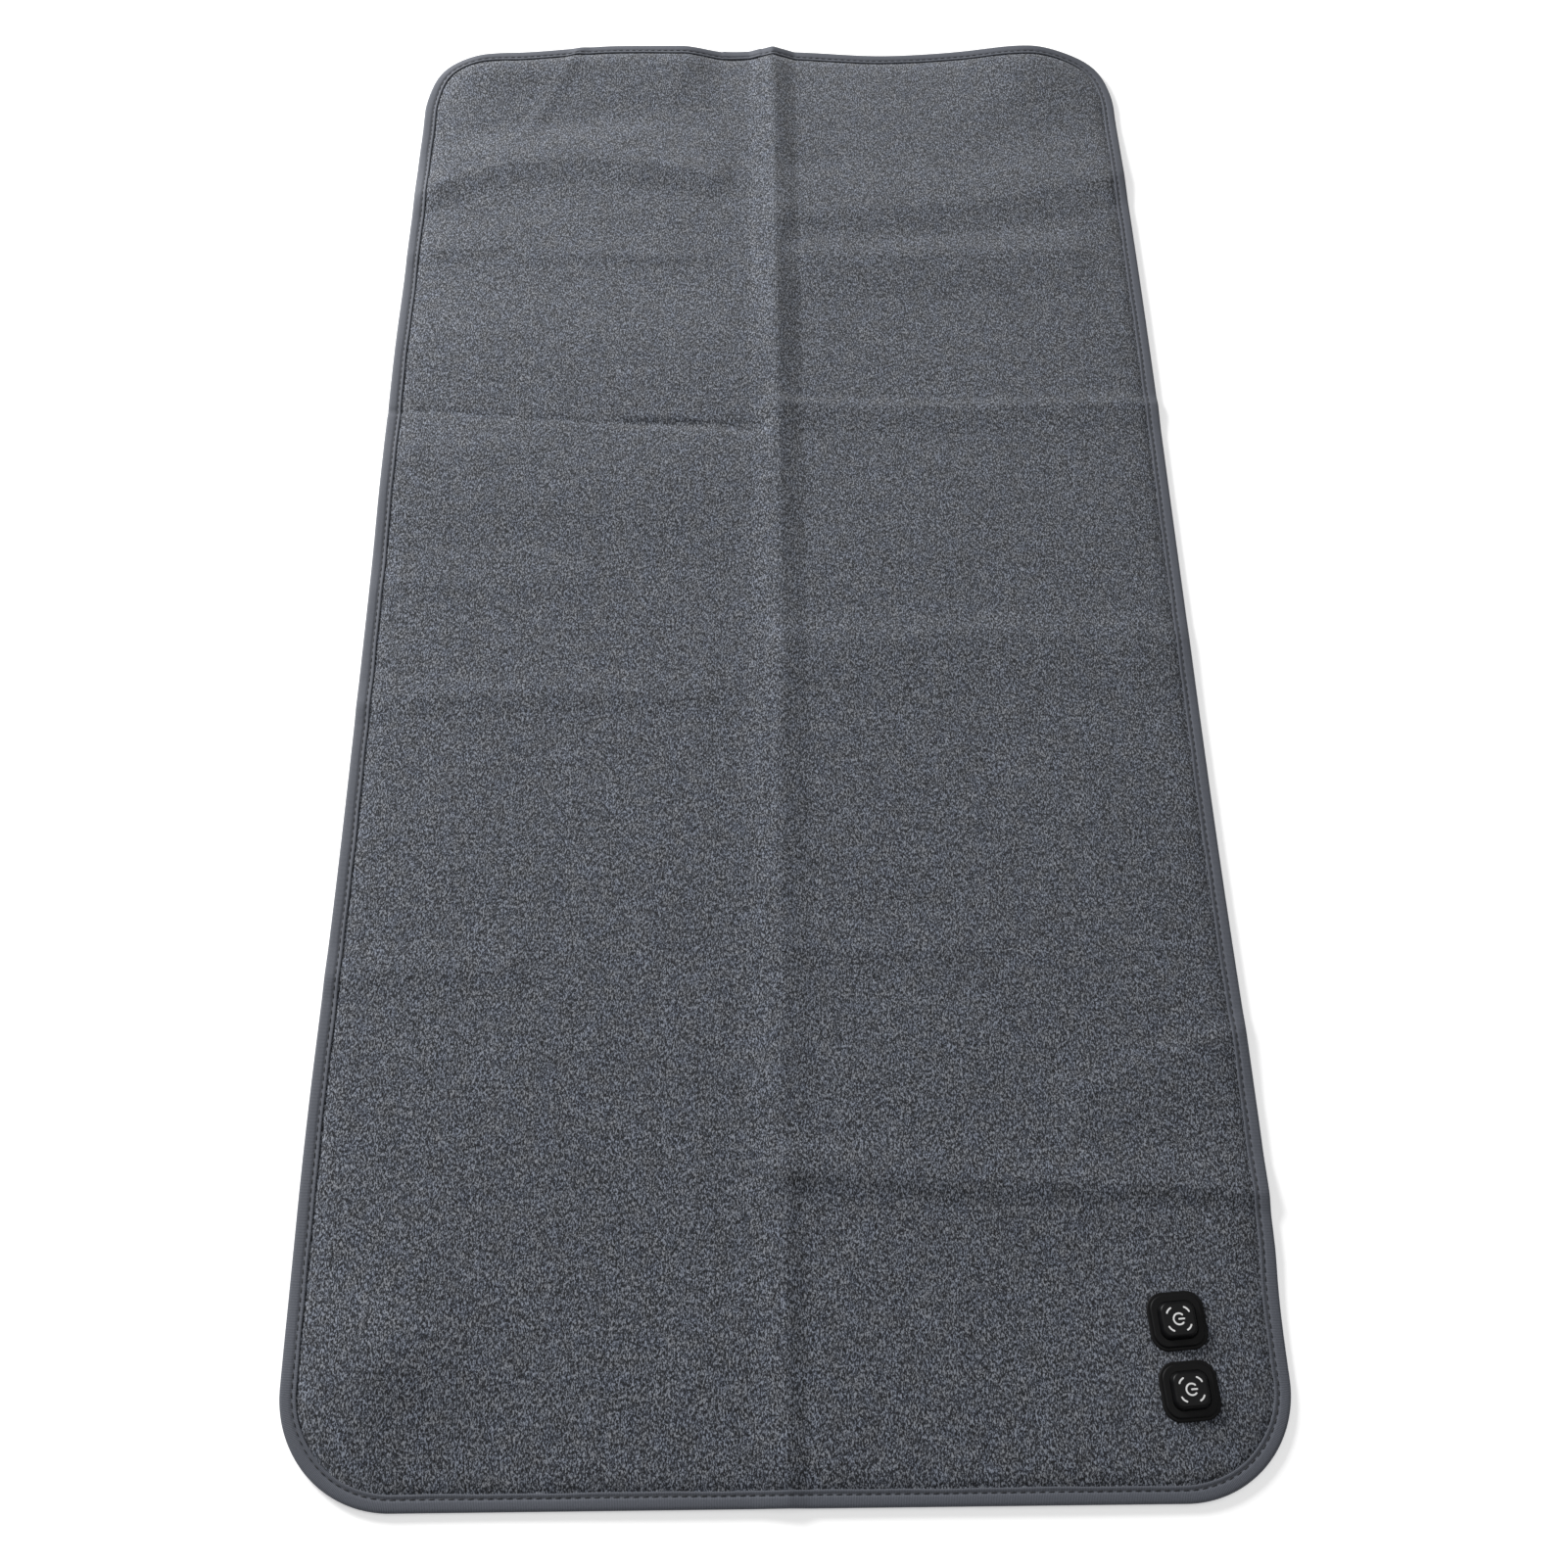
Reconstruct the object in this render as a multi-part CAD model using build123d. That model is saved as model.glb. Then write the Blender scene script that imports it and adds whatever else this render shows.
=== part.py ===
"""Heated blanket: a flat layered mat with a bound edge and two push-button controllers in one corner.

Frame: X across the width, Y along the length, +Z up. The origin is on the underside, at the middle of
the mat. The mat folds lengthwise about x = 0, so every soft layer is a left and a right solid, and the
controllers sit in the right half, near the -Y end. All sizes are in millimetres.
"""

import math
import os

from build123d import *

# --- Mat -------------------------------------------------------------------------------------------
MAT_WIDTH = 600.0
MAT_LENGTH = 1200.0
CORNER_RADIUS = 70.0
PANEL_ROWS = 6  # crosswise creases divide the length into this many panels
FOLD_GAP = 0.4  # between the two halves at the lengthwise crease

# --- Edge binding and its seam ---------------------------------------------------------------------
TAPE_THICKNESS = 0.6
TAPE_REACH = 10.0  # how far each leg of the folded tape covers the cloth
TAPE_EDGE_RADIUS = 0.5
SEAM_INSET = 7.4  # seam line, from the outer edge
THREAD_WIDTH = 0.6
THREAD_HEIGHT = 0.4
SEAM_DEPTH = 0.3  # how deep the thread is pulled into the tape
SEAM_CLEARANCE = 0.05

# --- Layers, from the underside up -----------------------------------------------------------------
BACKING_THICKNESS = 0.9
FELT_THICKNESS = 1.0
FOIL_THICKNESS = 0.2
FILM_THICKNESS = 0.3
STRIP_THICKNESS = 0.2
WADDING_THICKNESS = 2.0
FACE_THICKNESS = 1.0
PUFF_RUN = 12.0  # sloping stretch between the bound edge and the full thickness
PAD_MARGIN = 2.0  # inner layers stop this far inside the slope's top
CUT_CORNER = 30.0  # the felt's and the foil's corners are cut off straight, this far along each side
LAYER_CLEARANCE = 0.1

# --- Heating films and their copper strips ---------------------------------------------------------
FILM_SIDE_MARGIN = 28.0  # from the lengthwise crease and from the wadding's side
FILM_MARGIN = 30.0  # from each crosswise crease
STRIP_WIDTH = 6.0
STRIP_INSET = 3.0  # from the film's side
STRIP_START = 10.0  # the strips start this far past the first crosswise crease

# --- Leads -----------------------------------------------------------------------------------------
LEAD_DIAMETER = 1.4
LEAD_BEND = 12.0
LEAD_SPACING = 4.0
LEAD_CLEARANCE = 0.1  # all round, in the holes and channels that it passes through
LEAD_TAIL = 0.9  # length inside the case, past its rounded corner and short of the board
LEAD_CROSS_RUN = 33.5  # the inner lead crosses to its strip this far above the upper case
CUTOUT_LENGTH = 12.0
CUTOUT_WIDTH = 4.0
CUTOUT_HEIGHT = 1.8

# --- Controllers -----------------------------------------------------------------------------------
CONTROLLER_SIDE_INSET = 61.5  # lower controller's centre, from the mat's side
CONTROLLER_END_INSET = 62.5  # and from its -Y end
CONTROLLER_PITCH = 41.0
CONTROLLER_TURN = 4.2  # degrees, the pair's lean towards the middle
FLANGE_MARGIN = 6.2  # flange beyond the cap on each side
FLANGE_RADIUS = 10.5
FLANGE_THICKNESS = 1.2
FLANGE_EDGE_RADIUS = 0.8
STEP_MARGIN = 4.3  # step beyond the cap on each side
STEP_RISE = 1.5
STEP_EDGE_RADIUS = 1.1
CAP_WIDTH = 22.6
CAP_RADIUS = 6.0
CAP_CLEARANCE = 0.3
CAP_RISE = 6.5  # cap's top above the face cloth
CAP_STRAIGHT = 0.4  # straight stretch of the cap's side above the bezel
CAP_LEAN_IN = 1.4  # top of the cap, in from its side
CAP_EDGE_RADIUS = 1.7
CAP_WALL = 1.5
LIP_PROUD = 0.8  # retaining lip beyond the cap's side
LIP_THICKNESS = 0.7
LIP_PLAY = 0.2
CAP_TRAVEL = 0.6
CASE_WALL = 1.3
CASE_FLOOR = 1.0
CLAMP_THICKNESS = 0.9
CLAMP_OVERLAP = 0.3  # face cloth's hole, round the case
PIN_DIAMETER = 1.4
PIN_OFFSET = 8.0  # along each side, from its middle
PIN_BITE = 0.8  # depth of each pin in the bezel
PIN_CLEARANCE = 0.05
BOARD_CLEARANCE = 1.0
BOARD_THICKNESS = 1.0
BOARD_LIFT = 1.5
POST_DIAMETER = 4.0
SCREW_DIAMETER = 1.4
SCREW_HEAD_DIAMETER = 2.6
SCREW_HEAD_HEIGHT = 0.7
SCREW_LENGTH = 2.2
SCREW_OFFSET = 8.6
SCREW_CLEARANCE = 0.05
CHIP_LENGTH = 5.0
CHIP_WIDTH = 4.0
CHIP_HEIGHT = 1.2
LED_SIZE = 1.6
LED_HEIGHT = 0.6
SWITCH_WIDTH = 6.2
SWITCH_HEIGHT = 3.6
PLUNGER_DIAMETER = 3.4
PLUNGER_HEIGHT = 0.7  # above the switch
PLUNGER_DEPTH = 0.55  # inside the switch
PLUNGER_CLEARANCE = 0.1
WELL_MARGIN = 0.05  # left under the plunger when it is pressed
POST_GAP = 0.05  # between the cap's inner post and the plunger

# --- Sign on the caps: a standby symbol inside four corner arcs ------------------------------------
SIGN_STROKE = 1.0
SIGN_DEPTH = 0.5
SIGN_ARC_REACH = 8.0  # from the sign's centre to the middle of each arc
SIGN_ARC_RADIUS = 5.0
SIGN_ARC_SPAN = 44.0
SYMBOL_RADIUS = 3.3
SYMBOL_GAP = 92.0
SYMBOL_BAR_LENGTH = 3.1

# --- Lead outlet -----------------------------------------------------------------------------------
OUTLET_OFFSET = 60.0  # eyelet's centre, from the upper controller towards the middle
EYELET_BORE = 4.2
EYELET_DIAMETER = 9.0
EYELET_FLANGE = 13.0
EYELET_FLANGE_THICKNESS = 0.8
EYELET_CLEARANCE = 0.1
TERMINAL_LENGTH = 12.0
TERMINAL_WIDTH = 9.0
TERMINAL_HEIGHT = 2.2
TERMINAL_OFFSET = 17.0  # terminal's centre from the eyelet's

# --- Levels and places worked out from the sizes above ---------------------------------------------
EDGE_LOW = TAPE_THICKNESS
EDGE_MIDDLE = EDGE_LOW + BACKING_THICKNESS
EDGE_TOP = EDGE_MIDDLE + FACE_THICKNESS
FELT_LOW = BACKING_THICKNESS
FOIL_LOW = FELT_LOW + FELT_THICKNESS
FILM_LOW = FOIL_LOW + FOIL_THICKNESS
STRIP_LOW = FILM_LOW + FILM_THICKNESS
WADDING_LOW = STRIP_LOW + STRIP_THICKNESS
FACE_LOW = WADDING_LOW + WADDING_THICKNESS
FACE_TOP = FACE_LOW + FACE_THICKNESS
PAD_INSET = TAPE_REACH + PUFF_RUN + PAD_MARGIN
LEAD_LEVEL = FILM_LOW + LEAD_DIAMETER / 2

PANEL_LENGTH = MAT_LENGTH / PANEL_ROWS
FILM_LENGTH = PANEL_LENGTH - 2 * FILM_MARGIN
FILM_X = (MAT_WIDTH / 2 - PAD_INSET) / 2
FILM_WIDTH = MAT_WIDTH / 2 - PAD_INSET - 2 * FILM_SIDE_MARGIN
FILM_ROWS = [-MAT_LENGTH / 2 + PANEL_LENGTH * (row + 0.5) for row in range(1, PANEL_ROWS)]
STRIP_INNER_X = FILM_X - FILM_WIDTH / 2 + STRIP_INSET + STRIP_WIDTH / 2
STRIP_OUTER_X = FILM_X + FILM_WIDTH / 2 - STRIP_INSET - STRIP_WIDTH / 2
STRIP_LOW_Y = -MAT_LENGTH / 2 + PANEL_LENGTH + STRIP_START
STRIP_HIGH_Y = FILM_ROWS[-1] + FILM_LENGTH / 2

FLANGE_WIDTH = CAP_WIDTH + 2 * FLANGE_MARGIN
STEP_WIDTH = CAP_WIDTH + 2 * STEP_MARGIN
CAP_TOP_WIDTH = CAP_WIDTH - 2 * CAP_LEAN_IN
OPENING_WIDTH = CAP_WIDTH + 2 * CAP_CLEARANCE
LIP_WIDTH = CAP_WIDTH + 2 * LIP_PROUD
CASE_INNER = LIP_WIDTH + 2 * CAP_CLEARANCE
CASE_WIDTH = CASE_INNER + 2 * CASE_WALL
CASE_RADIUS = CAP_RADIUS + LIP_PROUD + CAP_CLEARANCE + CASE_WALL
CASE_LOW = BACKING_THICKNESS
BEZEL_TOP = FACE_TOP + FLANGE_THICKNESS + STEP_RISE
CAP_TOP = FACE_TOP + CAP_RISE
BOARD_LOW = CASE_LOW + CASE_FLOOR + BOARD_LIFT
BOARD_TOP = BOARD_LOW + BOARD_THICKNESS
BOARD_WIDTH = CASE_INNER - 2 * BOARD_CLEARANCE
SWITCH_TOP = BOARD_TOP + SWITCH_HEIGHT
PLUNGER_TOP = SWITCH_TOP + PLUNGER_HEIGHT
LIP_LOW = FACE_TOP + CAP_TRAVEL + 2 * LIP_PLAY
LEDGE_LEVEL = LIP_LOW + LIP_THICKNESS + LIP_PLAY
HOLE_WIDTH = CASE_WIDTH + 2 * CLAMP_OVERLAP
HOLE_RADIUS = CASE_RADIUS + CLAMP_OVERLAP
PIN_REACH = (HOLE_WIDTH + FLANGE_WIDTH) / 4

TURN = math.radians(CONTROLLER_TURN)
LOWER = Vector(MAT_WIDTH / 2 - CONTROLLER_SIDE_INSET, CONTROLLER_END_INSET - MAT_LENGTH / 2)
UPPER = LOWER + CONTROLLER_PITCH * Vector(-math.sin(TURN), math.cos(TURN))
PLACES = {
    "lower": Pos(LOWER) * Rot(0, 0, CONTROLLER_TURN),
    "upper": Pos(UPPER) * Rot(0, 0, CONTROLLER_TURN),
}
OUTLET_X = UPPER.X - OUTLET_OFFSET
TERMINAL_X = OUTLET_X + TERMINAL_OFFSET
CORNERS = [(sx, sy) for sx in (-1, 1) for sy in (-1, 1)]


# --- Basic shapes ----------------------------------------------------------------------------------
def outline(inset):
    """The mat's plan, drawn in from its outer edge."""
    return RectangleRounded(MAT_WIDTH - 2 * inset, MAT_LENGTH - 2 * inset, CORNER_RADIUS - inset)


def slab(inset, low, high):
    """A flat layer of the mat between two levels."""
    return Pos(0, 0, low) * extrude(outline(inset), high - low)


def ring(outer, inner, low, high):
    """A band that follows the mat's edge, between two insets."""
    return slab(outer, low, high) - slab(inner, low, high)


def square(width, radius, low, high):
    """An upright block with a rounded square plan."""
    return Pos(0, 0, low) * extrude(RectangleRounded(width, width, radius), high - low)


def rod(diameter, low, high, x=0.0, y=0.0):
    """An upright round rod."""
    return Pos(x, y, low) * extrude(Circle(diameter / 2), high - low)


def block(length, width, low, high, x=0.0, y=0.0):
    """An upright block with a plain plan."""
    return Pos(x, y, low) * extrude(Rectangle(length, width), high - low)


def half(shape, side):
    """The part of a layer on one side of the lengthwise crease: side is -1 or 1."""
    keep = Box(MAT_WIDTH, 2 * MAT_LENGTH, 4 * CAP_TOP)
    return shape & (Pos(side * (MAT_WIDTH + FOLD_GAP) / 2, 0, 0) * keep)


def at_both_places(*shapes):
    """The same shapes at the lower and at the upper controller."""
    return [place * shape for place in PLACES.values() for shape in shapes]


# --- Soft layers -----------------------------------------------------------------------------------
def face_cloth():
    """Top cloth: full height in the middle, sloping down to the bound edge."""
    foot = Pos(0, 0, EDGE_TOP) * outline(TAPE_REACH)
    brow = Pos(0, 0, FACE_TOP) * outline(TAPE_REACH + PUFF_RUN)
    hill = loft([foot.face(), brow.face()], ruled=True)
    hollow = Pos(0, 0, -FACE_THICKNESS) * hill
    cloth = slab(TAPE_THICKNESS, EDGE_MIDDLE, EDGE_TOP) + hill - hollow
    hole = square(HOLE_WIDTH, HOLE_RADIUS, FACE_LOW, FACE_TOP)
    return cloth - at_both_places(hole, *clamp_pins(PIN_CLEARANCE))


def backing_cloth():
    """Bottom cloth: lies flat, and steps up over the tape's lower leg."""
    cloth = slab(TAPE_REACH, 0, BACKING_THICKNESS)
    cloth += ring(TAPE_THICKNESS, TAPE_REACH + BACKING_THICKNESS, EDGE_LOW, EDGE_MIDDLE)
    hole = EYELET_DIAMETER + 2 * EYELET_CLEARANCE
    return cloth - rod(hole, 0, BACKING_THICKNESS, OUTLET_X, UPPER.Y)


def lower_layer(low, high):
    """A layer under the films, with cut corners and room for both cases and for the eyelet."""
    plan = Rectangle(MAT_WIDTH - 2 * PAD_INSET, MAT_LENGTH - 2 * PAD_INSET)
    plan = chamfer(plan.vertices(), CUT_CORNER)
    layer = Pos(0, 0, low) * extrude(plan, high - low)
    case = square(CASE_WIDTH + 2 * LAYER_CLEARANCE, CASE_RADIUS + LAYER_CLEARANCE, low, high)
    eyelet = rod(EYELET_FLANGE + 2 * EYELET_CLEARANCE, low, high, OUTLET_X, UPPER.Y)
    return layer - at_both_places(case) - eyelet


def comfort_wadding(hardware):
    """Wadding under the face cloth, with room for the clamp rings and for the hardware."""
    width = FLANGE_WIDTH + 2 * LAYER_CLEARANCE
    rings = at_both_places(square(width, FLANGE_RADIUS + LAYER_CLEARANCE, WADDING_LOW, FACE_LOW))
    wadding = slab(PAD_INSET, WADDING_LOW, FACE_LOW) - rings
    for piece in hardware:
        wadding -= piece
    return wadding


def edge_binding():
    """Tape folded round the edge, with a sunk seam line on both legs."""
    tape_top = EDGE_TOP + TAPE_THICKNESS
    tape = slab(0, 0, tape_top)
    rims = tape.edges().group_by(Axis.Z)
    tape = fillet(rims[0] + rims[-1], min(TAPE_EDGE_RADIUS, 0.9 * TAPE_THICKNESS))
    tape -= slab(TAPE_REACH, 0, tape_top)
    tape -= slab(TAPE_THICKNESS, EDGE_LOW, EDGE_TOP)
    reach = THREAD_WIDTH / 2 + SEAM_CLEARANCE
    tape -= ring(SEAM_INSET - reach, SEAM_INSET + reach, 0, SEAM_DEPTH)
    return tape - ring(SEAM_INSET - reach, SEAM_INSET + reach, tape_top - SEAM_DEPTH, tape_top)


def seam_thread(low, height):
    """One of the seam's two threads, as a band along the seam line."""
    return ring(SEAM_INSET - THREAD_WIDTH / 2, SEAM_INSET + THREAD_WIDTH / 2, low, low + height)


# --- Heating circuit -------------------------------------------------------------------------------
def heating_film(side, row_y):
    """One carbon film, between two crosswise creases."""
    return block(FILM_WIDTH, FILM_LENGTH, FILM_LOW, STRIP_LOW, side * FILM_X, row_y)


def copper_strips(side):
    """The two supply strips on the films of one half."""
    length = STRIP_HIGH_Y - STRIP_LOW_Y
    middle = (STRIP_HIGH_Y + STRIP_LOW_Y) / 2
    places = (side * STRIP_INNER_X, side * STRIP_OUTER_X)
    return [block(STRIP_WIDTH, length, STRIP_LOW, WADDING_LOW, x, middle) for x in places]


def thermal_cutout(side, clearance=0.0):
    """Thermal fuse in the outer lead of one half, against the end of its strip."""
    width = CUTOUT_WIDTH + 2 * clearance
    top = FILM_LOW + CUTOUT_HEIGHT + clearance
    return block(width, CUTOUT_LENGTH, FILM_LOW, top, side * STRIP_OUTER_X, STRIP_LOW_Y - CUTOUT_LENGTH / 2)


def end_in_case_y(centre, x, side):
    """Where a lead along Y, at x, ends inside a turned case. side 1 is its +Y wall."""
    reach = side * CASE_INNER / 2 + (x - centre.X) * math.sin(TURN)
    return centre.Y + reach / math.cos(TURN) - side * LEAD_TAIL


def end_in_case_x(centre, y, side):
    """Where a lead along X, at y, ends inside a turned case. side 1 is its +X wall."""
    reach = side * CASE_INNER / 2 - (y - centre.Y) * math.sin(TURN)
    return centre.X + reach / math.cos(TURN) - side * LEAD_TAIL


def right_zone_routes():
    """Leads of the right films, from the upper case."""
    cross_y = UPPER.Y + CASE_WIDTH / 2 + LEAD_CROSS_RUN
    start_x = UPPER.X - LEAD_SPACING
    outer_start = (STRIP_OUTER_X, end_in_case_y(UPPER, STRIP_OUTER_X, 1))
    outer = [outer_start, (STRIP_OUTER_X, STRIP_LOW_Y - CUTOUT_LENGTH)]
    inner_start = (start_x, end_in_case_y(UPPER, start_x, 1))
    inner = [inner_start, (start_x, cross_y), (STRIP_INNER_X, cross_y), (STRIP_INNER_X, STRIP_LOW_Y)]
    return [outer, inner]


def left_zone_routes():
    """Leads of the left films, from the lower case across the crease: right stretches, then left."""
    near, far = LOWER.Y - LEAD_SPACING, LOWER.Y + LEAD_SPACING
    right = [[(end_in_case_x(LOWER, y, -1), y), (FOLD_GAP / 2, y)] for y in (near, far)]
    inner = [(-FOLD_GAP / 2, far), (-STRIP_INNER_X, far), (-STRIP_INNER_X, STRIP_LOW_Y)]
    outer_end = (-STRIP_OUTER_X, STRIP_LOW_Y - CUTOUT_LENGTH)
    outer = [(-FOLD_GAP / 2, near), (-STRIP_OUTER_X, near), outer_end]
    return right, [inner, outer]


def supply_routes():
    """Leads from the terminal to the upper case, and on from there to the lower case."""
    start_x = TERMINAL_X + TERMINAL_LENGTH / 2
    feed_y = [UPPER.Y + side * LEAD_SPACING / 2 for side in (-1, 1)]
    feed = [[(start_x, y), (end_in_case_x(UPPER, y, -1), y)] for y in feed_y]
    link_x = [(LOWER.X + UPPER.X) / 2 + side * LEAD_SPACING / 2 for side in (-1, 1)]
    link = [[(x, end_in_case_y(LOWER, x, 1)), (x, end_in_case_y(UPPER, x, -1))] for x in link_x]
    return feed + link


def lead(points, diameter):
    """A round lead along straight runs joined by bends, at the leads' level."""
    corners = [(x, y, LEAD_LEVEL) for x, y in points]
    path = Line(*corners) if len(corners) == 2 else FilletPolyline(*corners, radius=LEAD_BEND)
    start = Plane(origin=path @ 0, z_dir=path % 0)
    return sweep(start * Circle(diameter / 2), path=path)


def leads(routes, clearance=0.0):
    """All the leads of a set, or the channels that they need."""
    return [lead(route, LEAD_DIAMETER + 2 * clearance) for route in routes]


# --- Lead outlet -----------------------------------------------------------------------------------
def lead_eyelet():
    """Bonded rubber eyelet in the backing, flush with the underside."""
    body = rod(EYELET_DIAMETER, 0, STRIP_LOW, OUTLET_X, UPPER.Y)
    body += rod(EYELET_FLANGE, FELT_LOW, FELT_LOW + EYELET_FLANGE_THICKNESS, OUTLET_X, UPPER.Y)
    return body - rod(EYELET_BORE, 0, STRIP_LOW, OUTLET_X, UPPER.Y)


def lead_terminal(clearance=0.0):
    """Two-way block that joins the outside lead to the inner leads."""
    length = TERMINAL_LENGTH + 2 * clearance
    width = TERMINAL_WIDTH + 2 * clearance
    return block(length, width, FILM_LOW, FILM_LOW + TERMINAL_HEIGHT + clearance, TERMINAL_X, UPPER.Y)


# --- Controllers, each drawn about its own centre --------------------------------------------------
def clamp_pins(clearance=0.0):
    """Pins that hold the bezel to the clamp ring, two along each side, or their holes."""
    along = [(r * PIN_REACH, s * PIN_OFFSET) for r, s in CORNERS]
    spots = along + [(b, a) for a, b in along]
    low, high = FACE_LOW - CLAMP_THICKNESS, FACE_TOP + PIN_BITE
    return [rod(PIN_DIAMETER + 2 * clearance, low, high, a, b) for a, b in spots]


def clamp_ring():
    """Ring under the face cloth that the bezel is pinned to."""
    low = FACE_LOW - CLAMP_THICKNESS
    plate = square(FLANGE_WIDTH, FLANGE_RADIUS, low, FACE_LOW)
    return plate - square(HOLE_WIDTH, HOLE_RADIUS, low, FACE_LOW) - clamp_pins(PIN_CLEARANCE)


def bezel():
    """Soft frame on the face cloth: a flange, a raised step and the cap's opening."""
    flange = square(FLANGE_WIDTH, FLANGE_RADIUS, FACE_TOP, FACE_TOP + FLANGE_THICKNESS)
    flange = fillet(flange.edges().group_by(Axis.Z)[-1], FLANGE_EDGE_RADIUS)
    step_radius = FLANGE_RADIUS - (FLANGE_WIDTH - STEP_WIDTH) / 2
    step = square(STEP_WIDTH, step_radius, FACE_TOP, BEZEL_TOP)
    step = fillet(step.edges().group_by(Axis.Z)[-1], STEP_EDGE_RADIUS)
    frame = flange + step
    frame -= square(OPENING_WIDTH, CAP_RADIUS + CAP_CLEARANCE, FACE_TOP, BEZEL_TOP)
    frame -= square(CASE_INNER, CASE_RADIUS - CASE_WALL, FACE_TOP, LEDGE_LEVEL)
    return frame - clamp_pins(PIN_CLEARANCE)


def arc_stroke(centre, radius, middle, span):
    """A round-ended arc: middle is the direction of its middle, in degrees."""
    path = CenterArc(centre, radius, middle - span / 2, span)
    band = make_face(offset(path, SIGN_STROKE / 2, side=Side.BOTH, kind=Kind.ARC).edges())
    return Pos(0, 0, CAP_TOP - SIGN_DEPTH) * extrude(band, SIGN_DEPTH)


def cap_sign():
    """Strokes of the sign, flush with the cap's top: four arcs, an open circle and a bar."""
    offset_in = (SIGN_ARC_REACH - SIGN_ARC_RADIUS) * math.sqrt(0.5)
    strokes = [arc_stroke((0, 0), SYMBOL_RADIUS, 180, 360 - SYMBOL_GAP)]
    for a, b in CORNERS:
        middle = math.degrees(math.atan2(b, a))
        strokes.append(arc_stroke((a * offset_in, b * offset_in), SIGN_ARC_RADIUS, middle, SIGN_ARC_SPAN))
    bar = extrude(SlotCenterToCenter(SYMBOL_BAR_LENGTH, SIGN_STROKE), SIGN_DEPTH)
    return strokes + [Pos(SYMBOL_BAR_LENGTH / 2, 0, CAP_TOP - SIGN_DEPTH) * bar]


def tapered_block(width, radius, top_width, low, high):
    """A rounded square block whose sides lean in towards the top."""
    top_radius = radius - (width - top_width) / 2
    foot = Pos(0, 0, low) * RectangleRounded(width, width, radius)
    brow = Pos(0, 0, high) * RectangleRounded(top_width, top_width, top_radius)
    return loft([foot.face(), brow.face()], ruled=True)


def button_cap():
    """Hollow cap with a retaining lip and a post that works the switch."""
    shoulder = BEZEL_TOP + CAP_STRAIGHT
    body = square(CAP_WIDTH, CAP_RADIUS, LIP_LOW, shoulder)
    body += tapered_block(CAP_WIDTH, CAP_RADIUS, CAP_TOP_WIDTH, shoulder, CAP_TOP)
    body = fillet(body.edges().group_by(Axis.Z)[-1], CAP_EDGE_RADIUS)
    body += square(LIP_WIDTH, CAP_RADIUS + LIP_PROUD, LIP_LOW, LIP_LOW + LIP_THICKNESS)
    inner, inner_top = CAP_WIDTH - 2 * CAP_WALL, CAP_TOP_WIDTH - 2 * CAP_WALL
    ceiling = CAP_TOP - CAP_WALL
    body -= square(inner, CAP_RADIUS - CAP_WALL, LIP_LOW, shoulder)
    body -= tapered_block(inner, CAP_RADIUS - CAP_WALL, inner_top, shoulder, ceiling)
    body += rod(PLUNGER_DIAMETER, PLUNGER_TOP + POST_GAP, ceiling)
    return body - cap_sign()


def switch_plunger():
    return rod(PLUNGER_DIAMETER, SWITCH_TOP - PLUNGER_DEPTH, PLUNGER_TOP)


def push_switch():
    """Switch body with a well for its plunger."""
    body = block(SWITCH_WIDTH, SWITCH_WIDTH, BOARD_TOP, SWITCH_TOP)
    well = SWITCH_TOP - PLUNGER_DEPTH - CAP_TRAVEL - WELL_MARGIN
    return body - rod(PLUNGER_DIAMETER + 2 * PLUNGER_CLEARANCE, well, SWITCH_TOP)


def screw_spots():
    return [(a * SCREW_OFFSET, b * SCREW_OFFSET) for a, b in CORNERS]


def control_board():
    """Circuit board with a hole at each screw."""
    board = square(BOARD_WIDTH, CASE_RADIUS - CASE_WALL - BOARD_CLEARANCE, BOARD_LOW, BOARD_TOP)
    hole = SCREW_DIAMETER + 2 * SCREW_CLEARANCE
    return board - [rod(hole, BOARD_LOW, BOARD_TOP, a, b) for a, b in screw_spots()]


def board_screws():
    low, head = BOARD_TOP - SCREW_LENGTH, BOARD_TOP + SCREW_HEAD_HEIGHT
    return [
        rod(SCREW_DIAMETER, low, BOARD_TOP, a, b) + rod(SCREW_HEAD_DIAMETER, BOARD_TOP, head, a, b)
        for a, b in screw_spots()
    ]


def control_chip():
    return block(CHIP_LENGTH, CHIP_WIDTH, BOARD_LOW - CHIP_HEIGHT, BOARD_LOW)


def indicator_leds():
    """One lamp on the board inside each corner arc of the sign."""
    reach = (SIGN_ARC_REACH - LED_SIZE) * math.sqrt(0.5)
    top = BOARD_TOP + LED_HEIGHT
    return [block(LED_SIZE, LED_SIZE, BOARD_TOP, top, a * reach, b * reach) for a, b in CORNERS]


def control_case():
    """Tray under the face cloth that holds the board on four posts."""
    case = square(CASE_WIDTH, CASE_RADIUS, CASE_LOW, FACE_TOP)
    case -= square(CASE_INNER, CASE_RADIUS - CASE_WALL, CASE_LOW + CASE_FLOOR, FACE_TOP)
    pilot = SCREW_DIAMETER + 2 * SCREW_CLEARANCE
    pilot_low = BOARD_TOP - SCREW_LENGTH - SCREW_CLEARANCE
    case += [rod(POST_DIAMETER, CASE_LOW + CASE_FLOOR, BOARD_LOW, a, b) for a, b in screw_spots()]
    return case - [rod(pilot, pilot_low, BOARD_LOW, a, b) for a, b in screw_spots()]


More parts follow.
